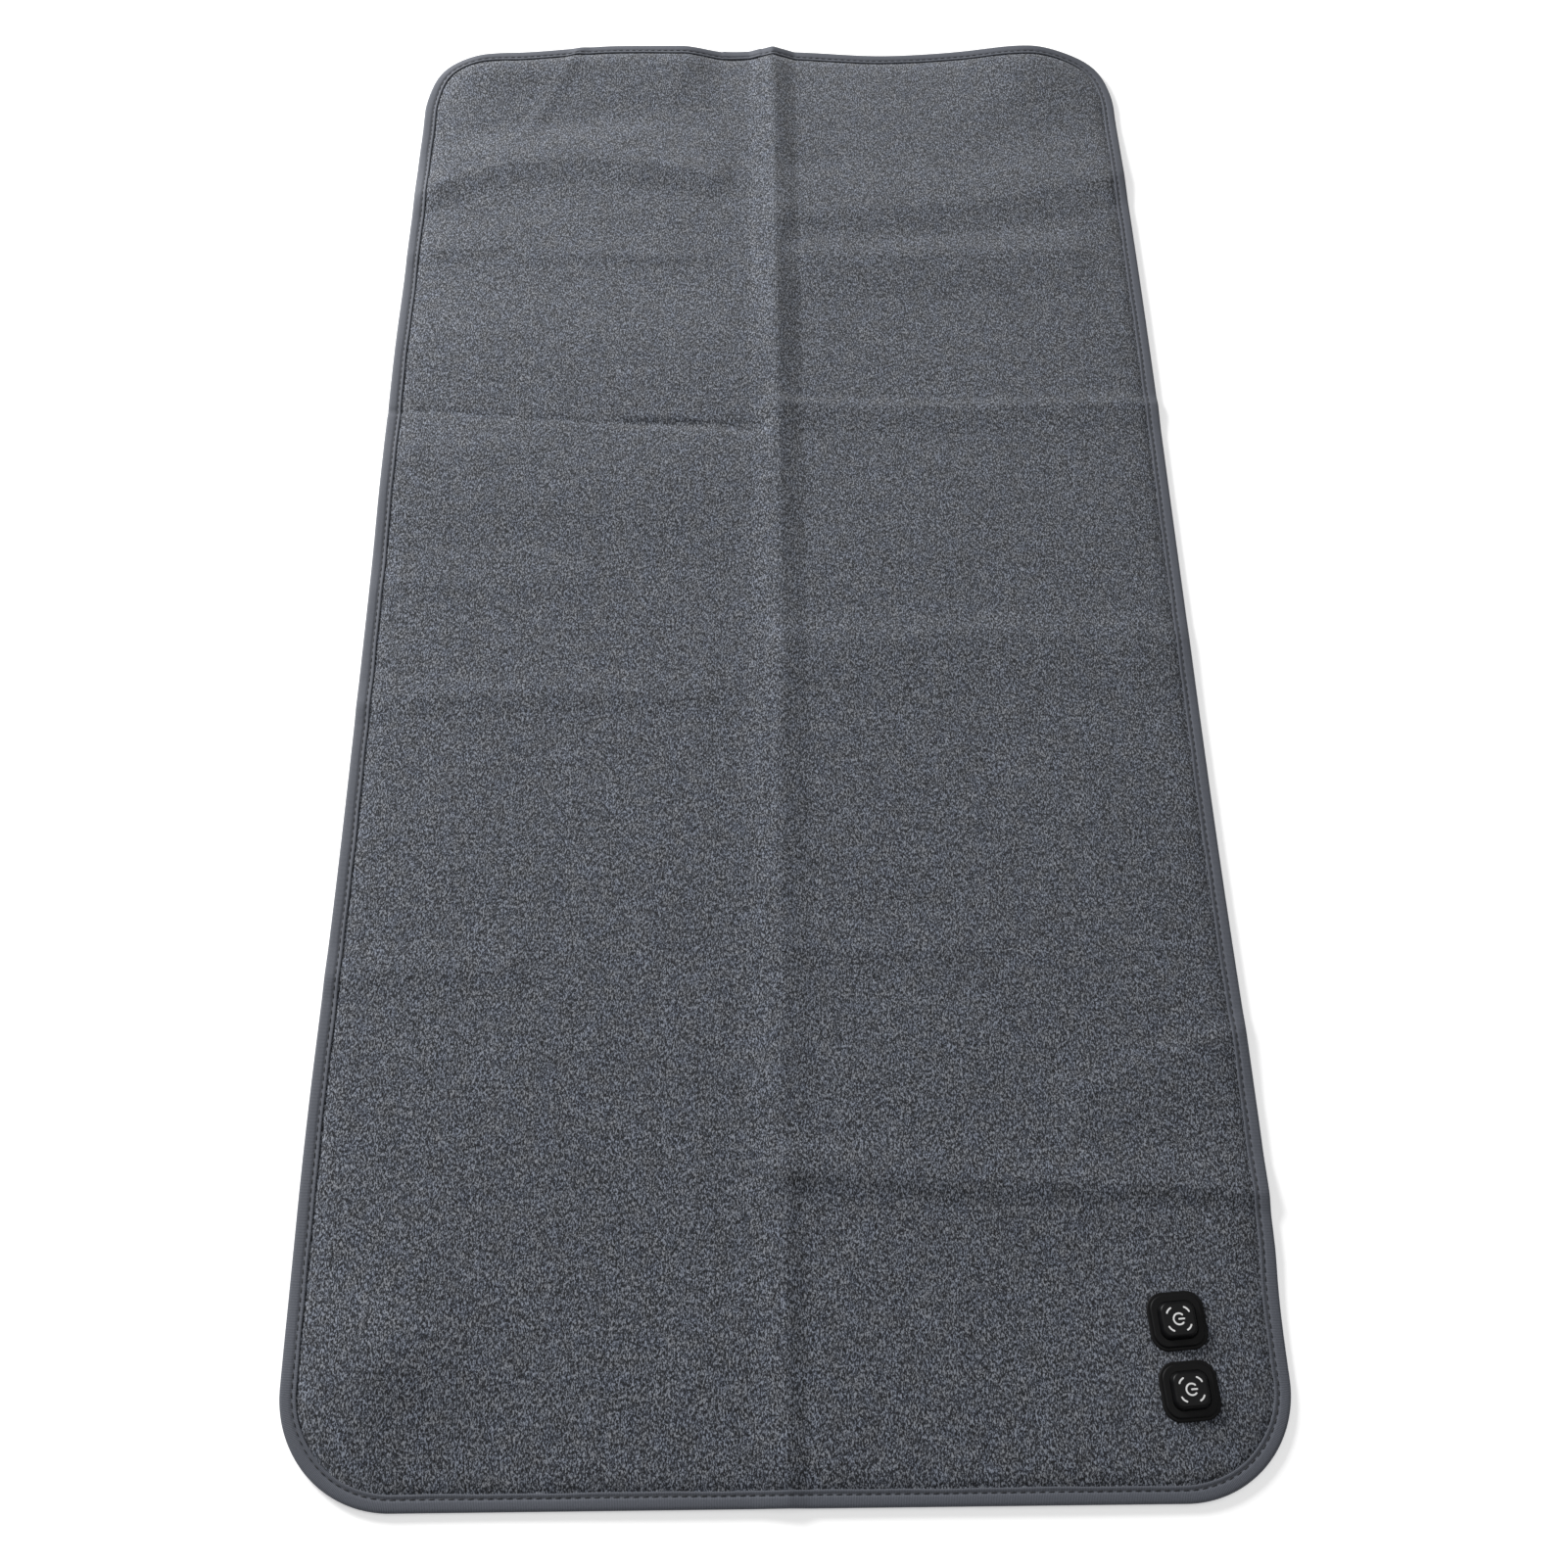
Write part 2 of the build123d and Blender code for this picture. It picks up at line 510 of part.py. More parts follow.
# --- Assembly --------------------------------------------------------------------------------------
def soft_layers(hardware):
    """Each layer of the mat in one piece, before the crease divides it."""
    return {
        "face_cloth": face_cloth(),
        "comfort_wadding": comfort_wadding(hardware),
        "reflector_foil": lower_layer(FOIL_LOW, FILM_LOW),
        "insulation_felt": lower_layer(FELT_LOW, FOIL_LOW),
        "backing_cloth": backing_cloth(),
        "edge_binding": edge_binding(),
        "needle_thread": seam_thread(EDGE_TOP + TAPE_THICKNESS - SEAM_DEPTH, THREAD_HEIGHT),
        "bobbin_thread": seam_thread(0, SEAM_DEPTH),
    }


def controller(place, channels):
    """One controller's pieces at its place, with the leads' channels cut through them."""
    pieces = {
        "bezel": bezel(),
        "button_cap": button_cap(),
        "cap_sign": cap_sign(),
        "switch_plunger": switch_plunger(),
        "push_switch": push_switch(),
        "control_board": control_board(),
        "board_screws": board_screws(),
        "control_chip": control_chip(),
        "indicator_leds": indicator_leds(),
        "control_case": control_case(),
        "clamp_ring": clamp_ring(),
        "clamp_pins": clamp_pins(),
    }
    for name, shape in pieces.items():
        pieces[name] = [place * s for s in shape] if isinstance(shape, list) else place * shape
    pieces["control_case"] -= channels
    pieces["clamp_ring"] -= channels
    pieces["clamp_pins"] = [pin - channels for pin in pieces["clamp_pins"]]
    return pieces


def build():
    """Every node's shape by name. A list is a node of separate solids."""
    crossing, left_routes = left_zone_routes()
    right_routes = right_zone_routes() + crossing
    supply = supply_routes()
    channels = leads(right_routes + left_routes + supply, LEAD_CLEARANCE)
    cutouts = [thermal_cutout(side, LAYER_CLEARANCE) for side in (-1, 1)]
    layers = soft_layers(channels + cutouts + [lead_terminal(LAYER_CLEARANCE)])

    nodes = {}
    for side, word in ((-1, "left"), (1, "right")):
        for name, layer in layers.items():
            nodes[f"{name}_{word}"] = half(layer, side)
        for number, row_y in enumerate(FILM_ROWS, start=1):
            nodes[f"heating_film_{word}_{number}"] = heating_film(side, row_y)
        nodes[f"copper_strips_{word}"] = copper_strips(side)
        nodes[f"thermal_cutout_{word}"] = thermal_cutout(side)
    nodes["zone_leads_left"] = leads(left_routes)
    nodes["zone_leads_right"] = leads(right_routes)
    nodes["supply_leads"] = leads(supply)
    nodes["lead_eyelet"] = lead_eyelet()
    nodes["lead_terminal"] = lead_terminal()
    for word, place in PLACES.items():
        for name, shape in controller(place, channels).items():
            nodes[f"{word}_{name}"] = shape
    return nodes


def write(nodes, folder="parts"):
    """One STEP file per node."""
    os.makedirs(folder, exist_ok=True)
    for name, shape in nodes.items():
        solids = [s for piece in (shape if isinstance(shape, list) else [shape]) for s in piece.solids()]
        export_step(Compound(children=solids) if len(solids) > 1 else solids[0], f"{folder}/{name}.step")
        print(name, len(solids), "solids", round(sum(s.volume for s in solids), 1), "mm3")


write(build())
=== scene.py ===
# %% [markdown]
# A heated mat, as soft goods are drawn in Blender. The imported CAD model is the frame: its hard pieces
# stay where they are and only get materials, and its plain soft solids are replaced by cloth that is
# drawn here. Everything is in metres, in the CAD's own frame.

# %% Load the frame
import math

import bmesh
import bpy
import numpy as np
from mathutils import Matrix, Vector


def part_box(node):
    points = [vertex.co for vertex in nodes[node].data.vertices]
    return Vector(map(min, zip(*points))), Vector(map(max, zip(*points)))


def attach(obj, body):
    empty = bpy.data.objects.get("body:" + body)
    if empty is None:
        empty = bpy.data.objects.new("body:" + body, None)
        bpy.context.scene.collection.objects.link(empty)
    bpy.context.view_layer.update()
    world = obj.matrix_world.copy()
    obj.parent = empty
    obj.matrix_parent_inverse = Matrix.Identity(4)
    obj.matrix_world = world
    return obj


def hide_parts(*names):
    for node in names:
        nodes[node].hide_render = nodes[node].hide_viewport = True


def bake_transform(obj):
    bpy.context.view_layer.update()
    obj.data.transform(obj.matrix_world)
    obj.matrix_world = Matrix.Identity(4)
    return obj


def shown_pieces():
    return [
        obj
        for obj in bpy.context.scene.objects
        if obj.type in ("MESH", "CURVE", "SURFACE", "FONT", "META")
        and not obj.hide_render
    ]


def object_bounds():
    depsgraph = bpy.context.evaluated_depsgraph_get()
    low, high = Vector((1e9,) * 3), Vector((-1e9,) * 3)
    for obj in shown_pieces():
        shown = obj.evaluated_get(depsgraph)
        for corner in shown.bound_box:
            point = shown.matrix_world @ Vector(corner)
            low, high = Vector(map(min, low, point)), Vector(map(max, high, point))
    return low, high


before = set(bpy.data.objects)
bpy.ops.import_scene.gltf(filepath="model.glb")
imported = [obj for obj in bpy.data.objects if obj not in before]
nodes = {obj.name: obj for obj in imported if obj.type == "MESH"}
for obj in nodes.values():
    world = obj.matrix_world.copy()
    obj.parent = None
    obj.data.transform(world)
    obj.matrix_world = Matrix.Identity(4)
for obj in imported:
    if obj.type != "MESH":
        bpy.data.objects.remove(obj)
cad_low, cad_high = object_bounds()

MM = 0.001
print("CAD box", [round(v, 4) for v in (*cad_low, *cad_high)])

# %% [markdown]
# The camera stands over the near end of the mat and looks down and away from it, a little left of the
# middle. A camera that isn't turned looks straight down, so its tilt is one turn about X. The two
# small turns after it are the way that a hand-held camera is never quite square to its subject.

# %% Camera
CAMERA_PLACE = Vector((-0.021, -0.729, 1.145))
TILT, SWING, ROLL = math.radians(27.82), math.radians(-2.26), math.radians(1.71)
LENS_MM = 42.57  # on the default 36 mm sensor

camera = bpy.data.objects.new("camera", bpy.data.cameras.new("camera"))
bpy.context.scene.collection.objects.link(camera)
camera.data.lens = LENS_MM
camera.matrix_world = (
    Matrix.Translation(CAMERA_PLACE)
    @ Matrix.Rotation(SWING, 4, "Z")
    @ Matrix.Rotation(TILT, 4, "X")
    @ Matrix.Rotation(ROLL, 4, "Z")
)
bpy.context.scene.camera = camera

# %% [markdown]
# The sizes come from the frame: the mat's outline from the binding, and the levels from the layers.
# The corner radius and the tape's reach are the sewing pattern's own values.

# %% Sizes from the frame
HALF_WIDTH = -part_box("edge_binding_left")[0].x
HALF_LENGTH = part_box("edge_binding_left")[1].y
CORNER = 70 * MM
TAPE_REACH = 10 * MM
TAPE_THICKNESS = 0.6 * MM
FACE_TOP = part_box("face_cloth_left")[1].z
FACE_THICKNESS = 1.0 * MM
BACKING_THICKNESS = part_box("insulation_felt_left")[0].z
SEAM_INSET = (HALF_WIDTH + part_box("needle_thread_left")[0].x) + 0.3 * MM
SEAM_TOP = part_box("needle_thread_left")[1].z


def middle(node):
    low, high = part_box(node)
    return (low + high) / 2


LOWER, UPPER = middle("lower_bezel"), middle("upper_bezel")
LEAN = math.atan2(LOWER.x - UPPER.x, UPPER.y - LOWER.y)
EYELET = middle("lead_eyelet")
print("seam inset", round(SEAM_INSET, 5), "lean", round(math.degrees(LEAN), 2))

# %% [markdown]
# A mat that was packed folded never lies quite flat again. It was folded in half lengthwise, and then
# in six, so it keeps a ridge along its middle and creases across it, which are valleys on one half and
# ridges on the other. One function says how far each point of the mat is lifted and pushed. Every
# soft layer goes through it, so the layers stay together. Around the controllers it is nothing,
# because the hard pieces there lie where the CAD has them.


# %% How the mat lies: helpers
def smooth(t):
    t = np.clip(t, 0, 1)
    return t * t * (3 - 2 * t)


def window(v, low, high, ramp):
    """1 between low and high, falling to 0 over ramp outside them."""
    return smooth((v - low) / ramp + 1) * smooth((high - v) / ramp + 1)


def fold(d, near, far, tip=2.0):
    """A crease's section: 1 on its line, with straight sides near and far of it, and rounded corners."""

    def straight(at):
        return np.clip(np.minimum(1 + at / near, 1 - at / far), 0, 1)

    return (straight(d - tip) + 2 * straight(d) + straight(d + tip)) / 4


# %% [markdown]
# A crease across the mat is a low roof or a shallow ditch with two straight sides. Each is written
# down as one row, because real creases follow no rule that a formula could hold. They run near the
# sixths of the mat's length, and some are doubled where the pack slipped between two foldings.

# %% How the mat lies: creases across it
# first and last place along X, place along Y, its tilt and its bow, height in mm (below 0 is a
# valley), and the widths of its sides, the one towards the controllers first
CREASES = [
    (-285, -50, 465, 0.0, -0.0017, 4.0, 25, 48),
    (-200, -60, 357, 0.0, 0.0, 1.3, 8, 30),
    (-290, -225, 380, 0.12, 0.0, 1.5, 14, 24),
    (-300, -10, 190, -0.06, 0.0, -1.2, 34, 40),
    (-300, -5, 190, -0.05, 0.0, -1.2, 5, 4),
    (-110, -8, 186, -0.05, 0.0, -1.6, 6, 5),
    (-280, -190, 161, 0.0, 0.0, 1.1, 20, 24),
    (-280, -150, 41, 0.0, 0.0, 1.5, 16, 34),
    (-290, -50, -57, 0.03, 0.0, 1.7, 14, 20),
    (-290, -180, -263, 0.05, 0.0, 1.8, 15, 22),
    (12, 290, 413, 0.16, 0.0008, 3.2, 32, 60),
    (30, 245, 361, 0.0, 0.0, 3.2, 46, 25),
    (10, 300, 203, 0.01, 0.0, 2.0, 24, 9),
    (10, 285, -9, 0.0, 0.0, 2.3, 56, 20),
    (5, 135, -254, 0.0, 0.0, 1.1, 7, 30),
    (4, 300, -412, -0.055, 0.0, 2.6, 12, 26),
    (190, 290, -366, 0.39, 0.0, 2.0, 40, 14),
]


HALF_CENTRE = 150  # mm from the middle to the middle of each half
AT_RIDGE = 12  # mm, a crease that ends nearer the middle than this stops short at the ridge


def creases(x, y):
    lift = np.zeros_like(x)
    for first, last, place, tilt, bow, height, near, far in CREASES:
        along = x - (-HALF_CENTRE if last < 0 else HALF_CENTRE)
        line = place + tilt * along + bow * along**2 + 2 * np.sin(x / 47 + place)
        fade = 22 if abs(last) > AT_RIDGE else 8
        lift += height * window(x, first, last, fade) * fold(y - line, near, far)
    return lift


# %% [markdown]
# The lengthwise fold was pressed hardest, so its crease stands up as one long ridge. The free far
# edge is the liveliest part: it rolls, stands up in a wave, and is drawn in between. Last come waves
# too weak to see one by one, which keep the cloth from looking like a board.

# %% How the mat lies: ridge, far edge and gentle waves
RIDGE_Y = [-600, -560, -430, -385, -300, -100, 0, 100, 190, 260, 340, 405, 480, 600]
RIDGE_HEIGHT = [1.5, 3.2, 3.0, 1.6, 2.2, 3.0, 3.5, 4.4, 4.4, 5.4, 6.4, 4.8, 5.8, 6.0]


def ridge(x, y):
    """The lengthwise crease stands up as a ridge. It wanders a few millimetres off the middle, and
    the cloth climbs to it from a lower left side."""
    beside = x - (2.5 - 3.0 * smooth((60 - y) / 500))
    near_end = smooth((-390 - y) / 40)
    climb = 1.5 * smooth((beside + 36) / 36) * (1 - smooth(beside / 220))
    height = np.interp(y, RIDGE_Y, RIDGE_HEIGHT)
    return height * fold(beside, 21, 19 - 7 * near_end, 1.0) + climb * (1 - near_end)


def far_edge(x, y):
    """The far left edge rolls over, and the far right corner stands up in a wave."""
    roll = 8.0 * window(x, -250, -80, 45) * np.exp(-(((y - 588) / 42) ** 2))
    wave = 8.5 * np.exp(-(((x - 228) / 48) ** 2)) * smooth((y - 490) / 110)
    pucker = 1.6 * fold(x + 190 - 0.42 * (y - 545), 9, 9, 1.5) * window(y, 505, 590, 20)
    return roll + wave + pucker


def far_drift(x, y):
    """How far the far edge is drawn in, and its two corners pushed out, along X and along Y."""
    far = smooth((y - 470) / 110)
    drawn = -9 * far * smooth((-x - 130) / 110) - 5 * far * np.exp(-(((x - 95) / 55) ** 2))
    left_tip = np.exp(-(((x + 280) / 28) ** 2) - ((y - 574) / 28) ** 2)
    right_tip = np.exp(-(((x - 280) / 28) ** 2) - ((y - 574) / 28) ** 2)
    return 4 * right_tip - 5 * left_tip, drawn + 7 * left_tip + 4 * right_tip


def waves(x, y):
    far = smooth((y - 330) / 100) * (0.75 - 0.35 * np.tanh(x / 80))
    bands = np.sin(y / 7.6 + 1.4 * np.sin(x / 55) + 0.4) + 0.6 * np.sin(y / 12.5 - x / 90)
    swell = np.sin(x / 75 + 0.6) * np.sin(y / 92 + 1.1) + 0.5 * np.sin(x / 41 - y / 63)
    corner = 6.0 * np.exp(-(((x + 245) / 45) ** 2) - ((y + 515) / 40) ** 2)
    return 0.25 * far * bands + 0.3 * swell + corner


# %% [markdown]
# The parts are added up, and the sum is rounded off where it would go below the floor. The mat's
# sides also bow out a little in its near half and draw in towards its far end.

# %% How the mat lies: all together
FLAT_PLACE = ((LOWER + UPPER) / 2 * 0.6 + EYELET * 0.4) / MM
FLAT_REACH = (78, 52)


def calm(x, y):
    """0 round the controllers and the outlet, 1 away from them."""
    away = np.hypot((x - FLAT_PLACE.x) / FLAT_REACH[0], (y - FLAT_PLACE.y) / FLAT_REACH[1])
    return smooth((away - 1) / 0.6)


def lie(points):
    """Where points of the flat mat come to lie. Both are rows of x, y, z in metres."""
    x, y, z = (np.asarray(points, float) / MM).T
    base = 0.9 + 3.2 * window(y, 130, 260, 80) * window(x, -400, -40, 60)
    lift = base + ridge(x, y) + creases(x, y) + far_edge(x, y) + waves(x, y)
    lift = (lift + np.sqrt(lift * lift + 0.2)) / 2
    spread = 2.7 * np.exp(-(((y + 380) / 140) ** 2)) - 5 * np.clip((y - 150) / 450, 0, 2) ** 2
    still = calm(x, y)
    drift_x, drift_y = far_drift(x, y)
    return np.stack([x + spread * still * x / 300 + drift_x, y + drift_y, z + lift * still], 1) * MM


probe = lie([(0, HALF_LENGTH, 0), (0, 0, 0), (-0.2, 0.575, 0), (UPPER.x, UPPER.y, 0)])
print("lift at ridge end, middle, rolled edge, controller (mm):", np.round(probe[:, 2] / MM, 2))

# %% [markdown]
# Two small helpers finish every new piece: one turns a bmesh into an object whose place is in its
# mesh, and one lays a mesh down with the function above. Before it is laid down, a piece keeps its
# flat pattern as a UV map in metres, so its weave follows the cloth wherever it goes.


# %% Helpers for pieces
def coordinates(mesh):
    flat = np.zeros(len(mesh.vertices) * 3)
    mesh.vertices.foreach_get("co", flat)
    return flat.reshape(-1, 3)


def finished(name, bm, laid=True, pattern=None):
    """An object from a bmesh. pattern gives each vertex's place on the cloth, in metres."""
    mesh = bpy.data.meshes.new(name)
    bm.to_mesh(mesh)
    bm.free()
    places = coordinates(mesh)
    cloth = places[:, :2] if pattern is None else pattern
    loops = np.zeros(len(mesh.loops), np.int32)
    mesh.loops.foreach_get("vertex_index", loops)
    uv = mesh.uv_layers.new(name="UVMap")
    uv.data.foreach_set("uv", cloth[loops].astype(np.float32).ravel())
    if laid:
        mesh.vertices.foreach_set("co", lie(places).astype(np.float32).ravel())
    mesh.shade_smooth()
    mesh.update()
    made = bpy.data.objects.new(name, mesh)
    bpy.context.scene.collection.objects.link(made)
    print(name, len(mesh.vertices), "vertices", len(mesh.polygons), "faces")
    return made


# %% [markdown]
# The mat folds about its middle, on the joint that the CAD has there. A piece that crosses the middle
# takes the place of the CAD's two halves, which are hidden, and its place is baked into its mesh.


def across_fold(piece, *stands_for):
    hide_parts(*stands_for)
    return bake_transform(piece)


# %% [markdown]
# The face and backing cloths are one grid each. Its lines are close together at the border, where the
# cloth dives under the tape, and in the middle, where it folds. The grid is square at first. Each
# square ring of its corners is then turned into an arc of the same distance from the edge, so the
# rows of the weave run round the corner as the binding does.


# %% Cloth grid
FINE_X = [(-0.026, 0.026, 0.002)]
FINE_Y = [(-0.44, -0.395, 0.0025), (0.172, 0.216, 0.002), (0.34, 0.475, 0.003)]


def pattern_lines(half, rim, pitch, fine):
    """Places of grid lines from -half to half. fine is rows of low, high and a smaller pitch."""
    inner = half - rim[-1]
    edges = [-inner, *[e for low, high, _ in fine for e in (low, high)], inner]
    lines = [-(half - np.array(rim)), half - np.array(rim)]
    for low, high in zip(edges[:-1], edges[1:]):
        step = next((p for a, b, p in fine if a == low and b == high), pitch)
        lines.append(np.linspace(low, high, max(1, round((high - low) / step)) + 1))
    return np.unique(np.round(np.concatenate(lines), 6))


def rounded(x, y):
    """Turns the square corners of a grid into round ones, ring by ring."""
    cx, cy = HALF_WIDTH - CORNER, HALF_LENGTH - CORNER
    u, v = np.abs(x) - cx, np.abs(y) - cy
    corner = (u > 0) & (v > 0)
    u, v = np.where(corner, u, 1), np.where(corner, v, 1)
    radius = np.maximum(u, v)
    angle = np.where(u >= v, math.pi / 4 * v / u, math.pi / 2 - math.pi / 4 * u / v)
    round_x = np.sign(x) * (cx + radius * np.cos(angle))
    round_y = np.sign(y) * (cy + radius * np.sin(angle))
    return np.where(corner, round_x, x), np.where(corner, round_y, y)


def cloth_grid(rim, pitch_x, pitch_y, height):
    """A grid of the mat's outline. height gives z from x, y and the distance from the edge."""
    lines_x = pattern_lines(HALF_WIDTH, rim, pitch_x, FINE_X)
    lines_y = pattern_lines(HALF_LENGTH, rim, pitch_y, FINE_Y)
    bm = bmesh.new()
    bmesh.ops.create_grid(bm, x_segments=len(lines_x) - 1, y_segments=len(lines_y) - 1, size=1)
    at = np.array([v.co for v in bm.verts])
    column = np.rint((at[:, 0] + 1) / 2 * (len(lines_x) - 1)).astype(int)
    row = np.rint((at[:, 1] + 1) / 2 * (len(lines_y) - 1)).astype(int)
    x, y = lines_x[column], lines_y[row]
    inset = np.minimum(HALF_WIDTH - np.abs(x), HALF_LENGTH - np.abs(y))
    x, y = rounded(x, y)
    for vert, place in zip(bm.verts, zip(x, y, height(x, y, inset))):
        vert.co = place
    return bm


def cut_hole(bm, centre, reach, sides, turn=0.0):
    """Cuts a hole with straight sides at reach from its centre, through the faces round it."""
    spot = Vector((centre.x, centre.y, 0))
    turns = [turn + 2 * math.pi * side / sides for side in range(sides)]
    normals = [Vector((math.cos(angle), math.sin(angle), 0)) for angle in turns]

    def away(face):
        return (face.calc_center_median() - spot).xy

    for normal in normals:
        close = [f for f in bm.faces if away(f).length < 2.5 * reach]
        around = [part for f in close for part in (*f.edges, *f.verts)]
        parts = list(dict.fromkeys([*close, *around]))  # a set would change order from run to run
        cut = spot + normal * reach
        bmesh.ops.bisect_plane(bm, geom=parts, plane_co=cut, plane_no=normal)
    inside = []
    for face in bm.faces:
        if away(face).length < 2 * reach and all(away(face).dot(n.xy) < reach for n in normals):
            inside.append(face)
    bmesh.ops.delete(bm, geom=inside, context="FACES")


# %% [markdown]
# The face cloth is brushed flannel over wadding. It comes out from under the tape low down, in a small
# step that throws the dark line beside the seam, and swells up to the wadding's full height over about
# 12 mm. Each stitch pulls it down a little. Round each controller the clamped flange squeezes the
# wadding, and the cloth swells beside it.

# %% Face cloth
FACE_RIM = [0.6e-3, 5e-3, 9e-3, 10.1e-3, 11.2e-3, 12.6e-3, 14.5e-3, 17e-3, 20e-3, 24e-3, 28e-3]
# distance from the edge and height, in mm
FACE_PROFILE = [
    (0.6, 2.5), (9, 2.45), (10.1, 2.0), (11.2, 2.45), (13, 3.2),
    (17, 3.8), (24, 4.3), (36, 4.8), (55, 5.3), (80, 5.6),
]
STITCH_PITCH = 5.6 * MM
FLANGE_HALF, FLANGE_CORNER = 17.5 * MM, 10.5 * MM
CASE_HOLE = 14 * MM  # half the square hole in the cloth under each controller


def beside_flange(x, y, centre):
    """Distance outside a controller's flange, in metres. It is below 0 under the flange."""
    dx, dy = x - centre.x, y - centre.y
    across = np.abs(dx * math.cos(LEAN) + dy * math.sin(LEAN)) - (FLANGE_HALF - FLANGE_CORNER)
    along = np.abs(dy * math.cos(LEAN) - dx * math.sin(LEAN)) - (FLANGE_HALF - FLANGE_CORNER)
    outside = np.hypot(np.maximum(across, 0), np.maximum(along, 0))
    return outside + np.minimum(np.maximum(across, along), 0) - FLANGE_CORNER


def face_height(x, y, inset):
    profile = np.array(FACE_PROFILE) * MM
    z = np.interp(inset, profile[:, 0], profile[:, 1])
    pull = window(inset / MM, 11, 15, 4)
    z -= 0.2 * MM * pull * (0.5 + 0.5 * np.sin((x + y) / (1.6 * STITCH_PITCH) * math.pi))
    for centre in (LOWER, UPPER):
        beside = beside_flange(x, y, centre) / MM
        z += (FACE_TOP - z) * np.exp(-((np.maximum(beside, 0) / 14) ** 2))
        z += 0.45 * MM * np.exp(-(((beside - 4.5) / 3.2) ** 2)) * (beside > 0)
    return z


bm = cloth_grid(FACE_RIM, 0.0055, 0.005, face_height)
for controller in (LOWER, UPPER):
    cut_hole(bm, controller, CASE_HOLE, 4, LEAN)
bmesh.ops.recalc_face_normals(bm, faces=bm.faces)
if sum(f.normal.z for f in bm.faces) < 0:
    bmesh.ops.reverse_faces(bm, faces=bm.faces)
bmesh.ops.solidify(bm, geom=bm.faces, thickness=FACE_THICKNESS)
face_cloth = finished("face_cloth", bm)
across_fold(face_cloth, "face_cloth_left", "face_cloth_right")

# %% [markdown]
# The backing is a thin, dense cloth that lies on the floor. It rises over the lower leg of the tape at
# the border, and has a round hole for the lead's eyelet.

# %% Backing cloth
BACKING_RIM = [0.6e-3, 5e-3, 9.2e-3, 10.3e-3, 11.5e-3, 13e-3, 16e-3]
EYELET_HOLE = 4.6 * MM
BACKING_PROFILE = [(0.6, 0.62), (9.2, 0.62), (10.3, 0.35), (11.5, 0.08), (13, 0)]


def backing_height(x, y, inset):
    profile = np.array(BACKING_PROFILE) * MM
    return np.interp(inset, profile[:, 0], profile[:, 1])


bm = cloth_grid(BACKING_RIM, 0.009, 0.008, backing_height)
cut_hole(bm, EYELET, EYELET_HOLE, 16)
if sum(f.normal.z for f in bm.faces) > 0:
    bmesh.ops.reverse_faces(bm, faces=bm.faces)
bmesh.ops.solidify(bm, geom=bm.faces, thickness=BACKING_THICKNESS)
backing_cloth = finished("backing_cloth", bm)
across_fold(backing_cloth, "backing_cloth_left", "backing_cloth_right")

# %% [markdown]
# The binding is one tape, folded over the edge and sewn down through everything. Its section is a
# closed loop of points, each with its distance in from the edge and its height. A grid carries that
# section round the mat, so one function of stations along the seam serves the tape and the stitches.

# %% Stations along the seam
SIDE_X, SIDE_Y = HALF_WIDTH - CORNER, HALF_LENGTH - CORNER
ARC = math.pi / 2 * (CORNER - SEAM_INSET)
RUNS = [2 * SIDE_Y, ARC, 2 * SIDE_X, ARC, 2 * SIDE_Y, ARC, 2 * SIDE_X, ARC]
RUN_STARTS = np.concatenate([[0], np.cumsum(RUNS)])
SEAM_LENGTH = RUN_STARTS[-1]
STITCHES = round(SEAM_LENGTH / STITCH_PITCH)
print("seam", round(SEAM_LENGTH, 3), "m,", STITCHES, "stitches")


def stations(distance):
    """Corner centre and outward direction at each distance along the seam, anticlockwise from
    near right."""
    distance = np.mod(distance, SEAM_LENGTH)
    run = np.clip(np.searchsorted(RUN_STARTS, distance, side="right") - 1, 0, 7)
    share = (distance - RUN_STARTS[run]) / np.array(RUNS)[run]
    signs = np.array([(1, -1), (1, 1), (1, 1), (-1, 1), (-1, 1), (-1, -1), (-1, -1), (1, -1)])
    ends = np.array([(1, 1), (1, 1), (-1, 1), (-1, 1), (-1, -1), (-1, -1), (1, -1), (1, -1)])
    reach = np.array([SIDE_X, SIDE_Y])
    centre = (signs[run] * (1 - share)[:, None] + ends[run] * share[:, None]) * reach
    angle = (run // 2 + np.where(run % 2 == 1, share, 0)) * math.pi / 2
    return centre, np.stack([np.cos(angle), np.sin(angle)], 1)


def beside_edge(distance, inset, z):
    """Points at an inset from the edge and a height, by their distance along the seam."""
    centre, outward = stations(distance)
    return np.column_stack([centre + outward * (CORNER - inset)[:, None], z])


# %% [markdown]
# Now the tape itself. Its upper leg is pulled down along the seam and stands proud beside it, a bit
# more between two stitches than at one. The inner edge wobbles as hand-guided tape does, and where
# its two ends meet, one lies over the other.

# %% Binding tape
# inset from the edge and height, in mm, round the tape's section
TAPE_SECTION = [
    (10.0, 2.50), (10.05, 2.85), (9.85, 3.06), (9.3, 3.12), (8.6, 3.06), (8.0, 2.76), (7.4, 2.5),
    (6.8, 2.76), (6.2, 3.06), (5.2, 3.16), (3.4, 3.16), (2.0, 3.08), (1.0, 2.86), (0.35, 2.45),
    (0.05, 1.9), (0.0, 1.4), (0.15, 0.8), (0.6, 0.3), (1.3, 0.06), (2.4, 0.0), (6.6, 0.0),
    (7.4, 0.18), (8.2, 0.0), (9.6, 0.0), (10.0, 0.12), (10.0, 0.58), (7.4, 0.62), (1.8, 0.62),
    (0.8, 0.95), (0.62, 1.5), (0.8, 2.1), (1.8, 2.46), (7.4, 2.44),
]
SAMPLES_PER_STITCH = 4
LAP_LENGTH, LAP_PLACE = 34 * MM, 42 * MM  # the overlap of the tape's ends, left of the middle


